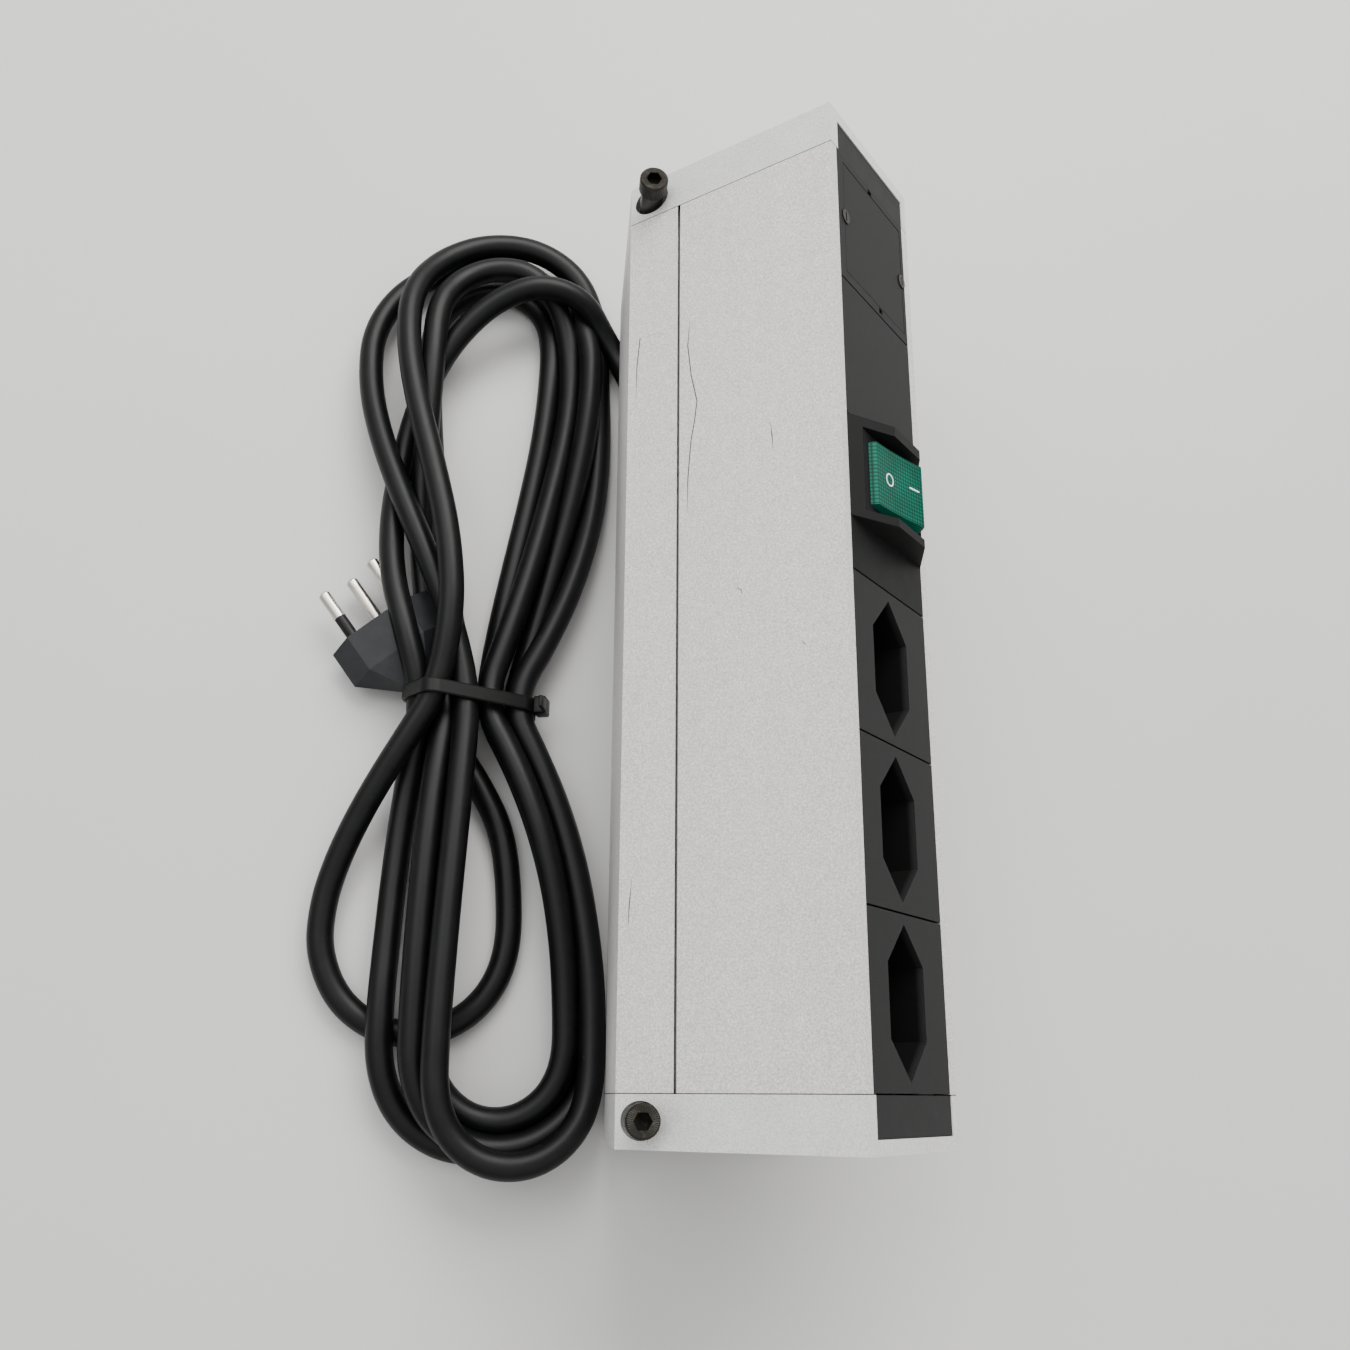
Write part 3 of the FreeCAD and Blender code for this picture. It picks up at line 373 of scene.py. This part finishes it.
def cord_sheath():
    """Black sheath, softly glossy, a little lighter and bluer in soft patches, with small pale scuffs.
    """
    look = Look("cord_sheath")
    haze = look.noise(140, 5.0, 0.65)
    scuff = look.noise(520, 7.0, 0.8)
    fine = look.noise(3000, 2.0, 0.5)
    base = look.ramp(haze, [(0.3, (0.0010, 0.0011, 0.0013, 1)), (0.75, (0.0030, 0.0032, 0.0038, 1))])
    marks = look.ramp(scuff, [(0.66, grey(0.0)), (0.71, grey(1.0))])
    look.colour(look.mix(look.math("MULTIPLY", marks, 0.45), base, grey(0.10)))
    look.roughness(haze, 0.36, 0.50)
    look.bump(fine, 0.08, 0.04)
    look.bump(scuff, 0.10, 0.10)
    look.set(Specular_IOR_Level=0.19)
    return look.material


def plug_plastic():
    look = Look("plug_plastic")
    grain = look.noise(2400, 3.0, 0.6)
    haze = look.noise(160, 4.0, 0.6)
    look.colour(look.ramp(haze, [(0.3, (0.010, 0.011, 0.013, 1)), (0.7, (0.018, 0.019, 0.022, 1))]))
    look.roughness(haze, 0.40, 0.50)
    look.set(Specular_IOR_Level=0.22)
    look.bump(grain, 0.15, 0.05)
    return look.material


def metal(name, colour, rough, rub=0.1):
    """Bare metal, a little darker and duller in patches."""
    look = Look(name)
    rubs = look.noise(400, 5.0, 0.7)
    darker = tuple(channel * 0.82 for channel in colour[:3]) + (1,)
    look.colour(look.ramp(rubs, [(0.3, darker), (0.7, colour)]))
    look.set(Metallic=1.0)
    look.roughness(rubs, rough - rub, rough + rub)
    look.bump(rubs, 0.08, 0.05)
    return look.material


def black_screw(name, y):
    """Blackened screw with a knurled head and bare steel rubbed through in patches."""
    look = Look(name)
    centre = place(SCREW_X, y, 0)
    dx = look.along((1.0, 0.0, 0.0), centre.x)
    dy = look.along((0.0, 1.0, 0.0), centre.y)
    angle = look.math("ARCTAN2", dy, dx)
    knurl = look.math("ABSOLUTE", look.math("SINE", look.math("MULTIPLY", angle, KNURLS)))
    rubs = look.noise(900, 5.0, 0.7)
    bare = look.ramp(rubs, [(0.55, grey(0.0)), (0.68, grey(1.0))])
    blackened = (0.020, 0.018, 0.015, 1)
    steel = (0.14, 0.12, 0.09, 1)
    look.colour(look.mix(look.math("MULTIPLY", bare, 0.3), blackened, steel))
    look.set(Metallic=0.75)
    look.roughness(rubs, 0.34, 0.55)
    look.bump(knurl, 0.5, 0.35)
    look.bump(rubs, 0.15, 0.08)
    return look.material


def insulation(name, colour):
    """Smooth plastic of one colour, for the hidden wires and their block."""
    look = Look(name)
    haze = look.noise(300, 3.0, 0.5)
    darker = tuple(channel * 0.7 for channel in colour[:3]) + (1,)
    look.colour(look.ramp(haze, [(0.3, darker), (0.7, colour)]))
    look.roughness(haze, 0.4, 0.5)
    look.bump(haze, 0.05, 0.05)
    return look.material


def clear_glass():
    look = Look("clear_glass")
    haze = look.noise(300, 2.0, 0.5)
    look.colour(look.ramp(haze, [(0.3, (0.9, 0.7, 0.55, 1)), (0.7, (1.0, 0.85, 0.7, 1))]))
    look.roughness(haze, 0.03, 0.08)
    look.set(Transmission_Weight=0.85)
    return look.material


def table_top():
    """Plain pale table, with the faintest mottling."""
    look = Look("table_top")
    clouds = look.noise(3, 3.0, 0.5)
    fine = look.noise(900, 3.0, 0.6)
    look.colour(look.ramp(clouds, [(0.3, grey(0.455, 0.004)), (0.7, grey(0.49, 0.004))]))
    look.roughness(fine, 0.52, 0.62)
    look.bump(fine, 0.05, 0.04)
    return look.material


def dress(material, *names):
    for name in names:
        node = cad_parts[name]
        node.data.materials.clear()
        node.data.materials.append(material)


def soften_edges(width_mm, *names):
    """A small rounding on a carried-over piece, so that its edges catch the light."""
    for name in names:
        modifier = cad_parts[name].modifiers.new("edge", "BEVEL")
        modifier.width = width_mm / 1000
        modifier.segments = 2
        modifier.limit_method = "ANGLE"
        modifier.angle_limit = math.radians(32)
        modifier.harden_normals = False


# ---------------------------------------------------------------- mesh helpers

def new_object(name, mesh, material, body):
    piece = bpy.data.objects.new(name, mesh)
    bpy.context.collection.objects.link(piece)
    piece.data.materials.append(material)
    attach(piece, body)
    return piece


def mesh_from(name, vertices, faces):
    mesh = bpy.data.meshes.new(name)
    mesh.from_pydata([tuple(v) for v in vertices], [], faces)
    mesh.update()
    return mesh


def ribbon(name, rings, material, body, closed=False):
    """Skins a list of rings, each with the same number of points, into one smooth piece."""
    count = len(rings[0])
    vertices = [point for ring in rings for point in ring]
    faces = []
    last = len(rings) if closed else len(rings) - 1
    for ring in range(last):
        here = ring * count
        there = ((ring + 1) % len(rings)) * count
        for k in range(count):
            after = (k + 1) % count
            faces.append((here + k, here + after, there + after, there + k))
    if not closed:
        faces.append(tuple(reversed(range(count))))
        faces.append(tuple(range(last * count, last * count + count)))
    mesh = mesh_from(name, vertices, faces)
    bm = bmesh.new()
    bm.from_mesh(mesh)
    bmesh.ops.recalc_face_normals(bm, faces=bm.faces)
    bm.to_mesh(mesh)
    bm.free()
    return new_object(name, mesh, material, body)


def bevelled_box(name, centre, size, bevel, material, body, turn=None):
    bm = bmesh.new()
    bmesh.ops.create_cube(bm, size=1.0)
    bmesh.ops.scale(bm, vec=Vector(size) / 1000, verts=bm.verts)
    bmesh.ops.bevel(bm, geom=bm.edges[:], offset=bevel / 1000, segments=3, affect="EDGES", profile=0.5)
    if turn is not None:
        bmesh.ops.rotate(bm, cent=(0, 0, 0), matrix=turn, verts=bm.verts)
    bmesh.ops.translate(bm, vec=centre, verts=bm.verts)
    mesh = bpy.data.meshes.new(name)
    bm.to_mesh(mesh)
    bm.free()
    for polygon in mesh.polygons:
        polygon.use_smooth = True
    return new_object(name, mesh, material, body)


# ---------------------------------------------------------------- mains lead

CORD_R = 4.15
TIE_Y = 134.0

# From the gland in the leg, out below it, up over the hank and down its left side to the tie.
# The first six points are the route that part.py gives the lead.
LEAD = [
    (6.8, 194, 29), (6.8, 228, 29), (6.4, 248, 12), (2.5, 262, 4.8), (-5.5, 275, 7.5), (-15, 283, 14),
    (-30, 286, 19), (-46, 280, 17), (-60, 265, 14), (-69, 245, 12), (-74, 222, 12), (-76, 198, 15),
    (-74, 176, 19), (-68, 156, 21),
]
# Out of the last turn, under the others and into the plug
TAIL = [
    (-31, 76, 4.3), (-34, 94, 4.3), (-41, 108, 4.3), (-50, 122, 5), (-57, 133, 6.5), (-63, 141.5, 9.5),
]

# Places in the tie that the lead passes through, in order: (x, z)
WAIST = [
    (-61.5, 17), (-41, 4.5), (-49.5, 4.5), (-41, 12.5), (-53, 12.5),
    (-32.5, 5), (-47, 20), (-32.5, 13), (-55.5, 21),
]

# Each half turn leaves the tie past a knee (x, z) to its side (x, z), goes round at its reach
# (y, z), and comes back by the other side and knee.  They go down, up, down and so on, and the
# last leads into the tail, so it has no knee on its way back.
HALF_TURNS = [
    ((-66, 9), (-68, 11), (-3, 6), (-11, 4.5), (-22, 6)),
    ((-34, 5.5), (-22, 4.5), (294, 4.5), (-68, 4.5), (-59, 5)),
    ((-50, 12.5), (-54, 12), (4, 10), (-10, 13), (-22, 18)),
    ((-26, 10), (-12, 4.5), (297, 14), (-64, 21), (-65, 10)),
    ((-56, 17.5), (-57, 19), (-2, 14), (-4.5, 5.5), (-14, 4.5)),
    ((-21, 5.5), (-8, 12), (304, 4.5), (-88, 10), (-62, 19)),
    ((-48, 22.5), (-50, 25), (-7, 22), (-4.5, 15), (-14, 13.5)),
    ((-12, 10), (-4.5, 4.5), (309, 9), (-74, 22), (-54, 26)),
    ((-72, 16), (-89, 6.5), (30, 4.5), (-30, 4.5)),
]
KNEE = 0.36                # where the knee is, as a share of the way from the tie to the side
SIDE_SHARES = (0.18, 0.36, 0.54, 0.72, 0.88)
TURN_ANGLES = (10, 42, 74, 106, 138, 170)
TURN_FULLNESS = 1.03       # the smooth line runs a little inside its points

# Middle lines of the outermost strands in the tie, and of the highest
TIE_LEFT = -61.5
TIE_RIGHT = -31.5
TIE_HIGH = 21.6

GAP = 0.05                 # left between two strands, and under them
SAME_STRAND = 5 * CORD_R   # along the lead, closer than this isn't another strand
FREE_FROM = 110.0          # along the lead, from here on it is clear of the leg
LEG_LOW = 8.0              # strands above this stay beside the leg, lower ones may tuck under it
BESIDE_LEG = -CORD_R - 0.3
UNDER_LEG = -2.0
TIE_FADE = 4.0             # how soon the hold of the tie fades along the hank
SAG = 0.02
PUSH = 0.12
STIFFNESS = 0.12
STAY = 0.03                # how strongly a strand keeps its place in plan
LONGEST_MOVE = 0.6         # of a point in one round


def blend_along(share, at_tie, at_knee, at_side):
    """A smooth run through its values at the tie, the knee and the side, level at the side."""
    at_start = at_tie - at_side
    lean = ((at_knee - at_side) / (1 - KNEE) ** 2 - at_start) / KNEE
    return at_side + (1 - share) ** 2 * (at_start + lean * share)


def side_points(waist, knee, side, middle_y):
    """From the tie out to one side of a half turn."""
    points = []
    for share in SIDE_SHARES:
        x = blend_along(share, waist[0], knee[0], side[0])
        z = blend_along(share, waist[1], knee[1], side[1])
        points.append((x, TIE_Y + share * (middle_y - TIE_Y), max(z, CORD_R)))
    return points


def turn_points(out, reach, back, middle_y):
    """Half a circle from one side of the loop round to the other."""
    points = []
    for angle in TURN_ANGLES:
        share = (1 - math.cos(math.radians(angle))) / 2
        bulge = math.sin(math.radians(angle))
        x = out[0] + (back[0] - out[0]) * share
        y = middle_y + (reach[0] - middle_y) * bulge * TURN_FULLNESS
        z = (out[1] + (back[1] - out[1]) * share) * (1 - bulge) + reach[1] * bulge
        points.append((x, y, z))
    return points


def turn_middle(out, reach, back):
    """The y of the middle of a half circle that just gets to the reach."""
    radius = abs(out[0] - back[0]) / 2
    return reach[0] - math.copysign(radius, reach[0] - TIE_Y)


def lead_route():
    route = list(LEAD)
    for number, (knee_out, out, reach, back, *knee_back) in enumerate(HALF_TURNS):
        enter = WAIST[number]
        middle_y = turn_middle(out, reach, back)
        route.append((enter[0], TIE_Y, enter[1]))
        route += side_points(enter, knee_out, out, middle_y)
        route += turn_points(out, reach, back, middle_y)
        if knee_back:
            route += reversed(side_points(WAIST[number + 1], knee_back[0], back, middle_y))
    return route + TAIL


def spline_weights(count, steps):
    """Rows that give points of the quadratic spline from its control points."""
    unit = np.eye(count)
    joints = (unit[:-1] + unit[1:]) / 2
    joints[0] = unit[0]
    joints[-1] = unit[-1]
    rows = []
    for i in range(1, count - 1):
        for t in np.arange(steps) / steps:
            inner = 2 * t * (1 - t)
            rows.append((1 - t) ** 2 * joints[i - 1] + inner * unit[i] + t * t * joints[i])
    rows.append(joints[-1])
    return np.array(rows)


def settle(route, rounds=260):
    """Lets the turns rest on the table and on one another, held by the tie and beside the leg."""
    start = np.array(route, float)
    points = start.copy()
    weights = spline_weights(len(points), 4)
    held = np.zeros(len(points), bool)
    held[:5] = True
    held[-1] = True
    line = weights @ points
    run = np.concatenate([[0], np.cumsum(np.linalg.norm(np.diff(line, axis=0), axis=1))])
    apart = np.abs(run[:, None] - run[None]) > SAME_STRAND
    beyond_lead = run > FREE_FROM
    for _ in range(rounds):
        line = weights @ points
        offset = line[:, None] - line[None]
        distance = np.linalg.norm(offset, axis=2) + 1e-9
        overlap = np.where(apart, np.clip(2 * CORD_R + GAP - distance, 0, None), 0)
        push = (offset * (overlap / distance)[:, :, None]).sum(1)
        push[:, 2] += np.clip(CORD_R - line[:, 2], 0, None) * 3
        push[:, 2] -= SAG
        wall = np.where(line[:, 2] > LEG_LOW, BESIDE_LEG, UNDER_LEG)
        push[:, 0] -= np.where(beyond_lead, np.clip(line[:, 0] - wall, 0, None), 0) * 2
        in_tie = np.exp(-((line[:, 1] - TIE_Y) / TIE_FADE) ** 2) * beyond_lead
        push[:, 0] += np.clip(TIE_LEFT - line[:, 0], 0, None) * in_tie
        push[:, 0] -= np.clip(line[:, 0] - TIE_RIGHT, 0, None) * in_tie
        push[:, 2] -= np.clip(line[:, 2] - TIE_HIGH, 0, None) * in_tie
        move = weights.T @ push * PUSH
        bend = np.zeros_like(points)
        bend[1:-1] = points[:-2] - 2 * points[1:-1] + points[2:]
        rest = np.zeros_like(points)
        rest[1:-1] = start[:-2] - 2 * start[1:-1] + start[2:]
        move += STIFFNESS * (bend - rest)
        move[:, :2] += STAY * (start - points)[:, :2]
        move = np.clip(move, -LONGEST_MOVE, LONGEST_MOVE)
        move[held] = 0
        points += move
        points[:, 2] = np.maximum(points[:, 2], CORD_R + GAP)
    return [tuple(point) for point in np.round(points, 1)]


TIE_THICK = 1.2
TIE_HALF_WIDTH = 2.3
TIE_CLEAR = 0.15           # between the band and the strands
TIE_LEAN = -0.06           # how far the band slews along the hank for each millimetre across it


def places_in_tie(route):
    """Where the lead's middle line crosses the tie, as (x, z)."""
    line = spline_weights(len(route), 8) @ np.array(route)
    places = []
    for before, after in zip(line[:-1], line[1:]):
        if (before[1] - TIE_Y) * (after[1] - TIE_Y) <= 0 and before[0] < -20:
            places.append((before[0], before[2]))
    return np.array(places)


def band_ring(places, clearance):
    """A closed outline drawn tight round discs of the lead's size at these places."""
    ring = []
    centre = places.mean(axis=0)
    for step in range(72):
        angle = math.radians(step * 5)
        outward = np.array((math.cos(angle), math.sin(angle)))
        touched = places[np.argmax((places - centre) @ outward)]
        ring.append(touched + outward * (CORD_R + clearance))
    return ring


def add_tie(route, material):
    """The band goes round the ten strands, rounded at its edges, and its head sits on the right."""
    places = places_in_tie(route)
    inner = band_ring(places, TIE_CLEAR)
    outer = band_ring(places, TIE_CLEAR + TIE_THICK)
    middle = band_ring(places, TIE_CLEAR + TIE_THICK * 0.78)
    outline = ((0, -1), (1, -1), (2, -0.8), (2, 0.8), (1, 1), (0, 1))
    rings = []
    for corner in zip(inner, middle, outer):
        ring = []
        for layer, shift in outline:
            x, z = corner[layer]
            slew = TIE_LEAN * (x - places[:, 0].mean())
            ring.append(place(x, TIE_Y + slew + shift * TIE_HALF_WIDTH, max(z, 0.1)))
        rings.append(ring)
    band = ribbon("tie_band", rings, material, "strip", closed=True)
    right = max(outer, key=lambda point: point[0])
    slew = TIE_LEAN * (right[0] - places[:, 0].mean())
    lean = Matrix.Rotation(math.radians(-14), 3, "Y")
    head_at = place(right[0] + 1.6, TIE_Y + slew, right[1] + 1.0)
    head = bevelled_box("tie_head", head_at, (4.2, 5.8, 6.4), 0.7, material, "strip", lean)
    tail_at = place(right[0] + 2.0, TIE_Y + slew - 0.2, right[1] + 6.2)
    tail = bevelled_box("tie_tail", tail_at, (1.3, 3.8, 5.5), 0.3, material, "strip", lean)
    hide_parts("cable_tie")
    return [band, head, tail]


def add_cord(material, tie_material):
    route = settle(lead_route())
    tie = add_tie(route, tie_material)
    curve = bpy.data.curves.new("mains_cord", "CURVE")
    curve.dimensions = "3D"
    curve.bevel_depth = CORD_R / 1000
    curve.bevel_resolution = 7
    curve.resolution_u = 10
    curve.use_fill_caps = True
    spline = curve.splines.new("NURBS")
    spline.points.add(len(route) - 1)
    for point, (x, y, z) in zip(spline.points, route):
        point.co = (*place(x, y, z), 1)
    spline.order_u = 3
    spline.use_endpoint_u = True
    piece = bpy.data.objects.new("mains_cord", curve)
    bpy.context.collection.objects.link(piece)
    curve.materials.append(material)
    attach(piece, "strip")
    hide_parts("cord_lead", "cord_hank")


# ---------------------------------------------------------------- marks on the rocker

ROCKER_ACROSS = 24.2
ROCKER_ALONG = 170.0
AXIS_DEPTH = 3.0
DISH_RADIUS = 120.0
DISH_BOTTOM = 8.65         # above the rocker's axis
MARK_FROM_AXIS = 4.6       # to the middle of the ring, and to the near end of the bar
RING_INNER = 1.36
RING_OUTER = 1.76
RING_LONGER = 1.08         # along the strip, because the ring is a little oval
BAR_SIDE = 1.0
PRINT_LIFT = 0.04
PRINT_SUNK = 0.05
PRINT_ROUND = 0.02         # how much narrower a mark is at its top


def on_rocker(across, along, lift):
    """A point on the dished top of the rocker, at rest: across and along from its middle."""
    height = DISH_BOTTOM + across * across / (2 * DISH_RADIUS) + lift
    turned_across = across * math.cos(ROCKER_TILT) - height * math.sin(ROCKER_TILT)
    turned_height = across * math.sin(ROCKER_TILT) + height * math.cos(ROCKER_TILT)
    return on_socket_face(ROCKER_ACROSS + turned_across, ROCKER_ALONG + along,
                          turned_height - AXIS_DEPTH)


def add_off_mark(material):
    """The ring: a flat band just proud of the rocker, narrower at its top."""
    section = (
        (RING_INNER, -PRINT_SUNK), (RING_INNER + PRINT_ROUND, PRINT_LIFT),
        (RING_OUTER - PRINT_ROUND, PRINT_LIFT), (RING_OUTER, -PRINT_SUNK))
    rings = []
    for step in range(48):
        angle = math.radians(step * 7.5)
        ring = []
        for radius, lift in section:
            across = radius * math.cos(angle) - MARK_FROM_AXIS
            along = radius * RING_LONGER * math.sin(angle)
            ring.append(on_rocker(across, along, lift))
        rings.append(ring)
    ribbon("mark_off", rings, material, "rocker", closed=True)


def add_on_mark(material):
    """The bar, a little narrower at both ends."""
    rings = []
    last = 8
    for step in range(last + 1):
        across = MARK_FROM_AXIS + step * 0.53
        half = 0.22 if 0 < step < last else 0.16
        ring = []
        for side, lift in ((-1, -PRINT_SUNK), (-1, PRINT_LIFT), (1, PRINT_LIFT), (1, -PRINT_SUNK)):
            ring.append(on_rocker(across, BAR_SIDE + side * half, lift))
        rings.append(ring)
    ribbon("mark_on", rings, material, "rocker")


# ---------------------------------------------------------------- wear on the plain face

SCRATCH_HALF = 0.16
SCRATCH_TIP = 0.02
SCRATCH_LIFT = 0.02
SCRATCH_SUNK = 0.03

# Hairline scratches on the plain face, each through (distance up the slope, along)
SCRATCHES = [
    [
        (22.0, 229), (21.2, 220), (22.4, 210), (24.4, 201), (23.6, 195), (22.4, 189), (21.4, 178),
        (21.1, 167),
    ],
    [(48.1, 187.5), (48.6, 183), (48.8, 178.5)],
    [(35.8, 141.3), (37.2, 141), (38.3, 140.2), (38.6, 138.7)],
    [(56.1, 122.7), (56.8, 121.6), (57.8, 121.1)],
    [(13.1, 227), (9, 228), (4.1, 228.5), (3.1, 219), (2.9, 208)],
    [(4.1, 66.8), (3.4, 60), (3.1, 53.5)],
]


def on_plain_face(up_slope, along, out):
    """A point given on the plain face: up its slope, along the strip, outwards."""
    x = up_slope * math.cos(SLOPE) - out * math.sin(SLOPE)
    z = HEEL + up_slope * math.sin(SLOPE) + out * math.cos(SLOPE)
    return place(x, along, z)


def add_scratches(material):
    """Each scratch is a hair-thin strip, narrower at both ends."""
    section = ((-1, -SCRATCH_SUNK), (-1, SCRATCH_LIFT), (1, SCRATCH_LIFT), (1, -SCRATCH_SUNK))
    for number, path in enumerate(SCRATCHES):
        rings = []
        for index, (up_slope, along) in enumerate(path):
            half = SCRATCH_TIP if index in (0, len(path) - 1) else SCRATCH_HALF
            rings.append([on_plain_face(up_slope + side * half, along, out) for side, out in section])
        ribbon("scratch_%d" % (number + 1), rings, material, "strip")


# ---------------------------------------------------------------- scene

def add_floor():
    mesh = bpy.data.meshes.new("floor")
    bm = bmesh.new()
    bmesh.ops.create_grid(bm, x_segments=4, y_segments=4, size=FLOOR_REACH)
    bm.to_mesh(mesh)
    bm.free()
    floor = bpy.data.objects.new("floor", mesh)
    bpy.context.collection.objects.link(floor)
    mesh.materials.append(table_top())


def dress_frame():
    alloy = blasted_aluminium()
    caps = cap_metal()
    modules = module_plastic()
    dark = dark_plastic("dark_plastic", 0.0095, 0.55)
    steel = metal("steel", (0.62, 0.61, 0.58, 1), 0.32)
    brass = metal("brass", (0.72, 0.52, 0.24, 1), 0.28)
    nickel = metal("nickel", (0.60, 0.57, 0.52, 1), 0.30, 0.04)
    oxide = metal("black_oxide", (0.09, 0.085, 0.08, 1), 0.40)
    rubber = dark_plastic("pad_rubber", 0.02, 0.75, 0.4)
    dress(alloy, "rear_profile", "housing_profile")
    dress(caps, "end_cap_near", "end_cap_far")
    dress(dark, "cap_inset_near", "cap_inset_far")
    dress(modules, "socket_module_1", "socket_module_2", "socket_module_3", "blank_module",
          "accessory_frame", "accessory_cover")
    dress(dark_plastic("switch_black", 0.0035, 0.6), "switch_module", "switch_shell")
    dress(rocker_green(), "rocker")
    dress(clear_glass(), "switch_lamp")
    dress(brass, "busbar_live", "busbar_neutral", "busbar_earth", "switch_terminals")
    dress(insulation("wire_brown", (0.10, 0.035, 0.012, 1)), "wire_live")
    dress(insulation("wire_blue", (0.02, 0.07, 0.30, 1)), "wire_neutral")
    dress(insulation("wire_green", (0.10, 0.26, 0.02, 1)), "wire_earth")
    dress(insulation("block_white", (0.70, 0.69, 0.65, 1)), "terminal_block")
    dress(dark_plastic("anchor_plastic", 0.03, 0.5), "cord_anchor", "cable_gland")
    dress(black_screw("screw_near", SCREW_IN), "clamp_screw_near")
    dress(black_screw("screw_far", 2 * HALF_LENGTH - SCREW_IN), "clamp_screw_far")
    dress(oxide, "clamp_sleeve_near", "clamp_sleeve_far")
    dress(steel, "cap_screws", "jaw_nut_near", "jaw_nut_far")
    dress(metal("jaw_metal", (0.34, 0.34, 0.35, 1), 0.42), "clamp_jaw_near", "clamp_jaw_far")
    dress(rubber, "jaw_pad_near", "jaw_pad_far")
    dress(dark_plastic("clip_dark", 0.008, 0.35), "cover_clips")
    dress(plug_plastic(), "plug_body")
    dress(nickel, "plug_pins", "plug_earth_pin")
    dress(dark_plastic("sleeve_black", 0.006, 0.4), "plug_pin_sleeves")
    soften_edges(0.3, "rear_profile", "housing_profile", "end_cap_near", "end_cap_far")
    soften_edges(0.28, "socket_module_1", "socket_module_2", "socket_module_3", "blank_module",
                 "accessory_frame", "accessory_cover")
    soften_edges(0.15, "cap_inset_near", "cap_inset_far", "cover_clips", "plug_pins", "plug_earth_pin",
                 "clamp_sleeve_near", "clamp_sleeve_far")
    soften_edges(0.35, "switch_module", "switch_shell", "rocker")
    soften_edges(0.8, "plug_body")
    soften_edges(0.25, "clamp_screw_near", "clamp_screw_far")


add_camera()
add_world()
add_floor()
dress_frame()
add_cord(cord_sheath(), dark_plastic("tie_black", 0.002, 0.40, 0.08))
printed = white_print()
add_off_mark(printed)
add_on_mark(printed)
add_scratches(dark_plastic("scratch_grey", 0.03, 0.6))
add_area(
    "overhead", location=(0.3, 1.05, 1.25), target=(0, 0.05, 0.0), size=(1.3, 1.0), energy=46,
    tint=(1.0, 0.992, 0.965))
add_area(
    "side", location=(-0.75, 0.5, 1.6), target=(0, 0, 0.05), size=(0.9, 0.9), energy=11,
    tint=(0.99, 0.99, 1.0))
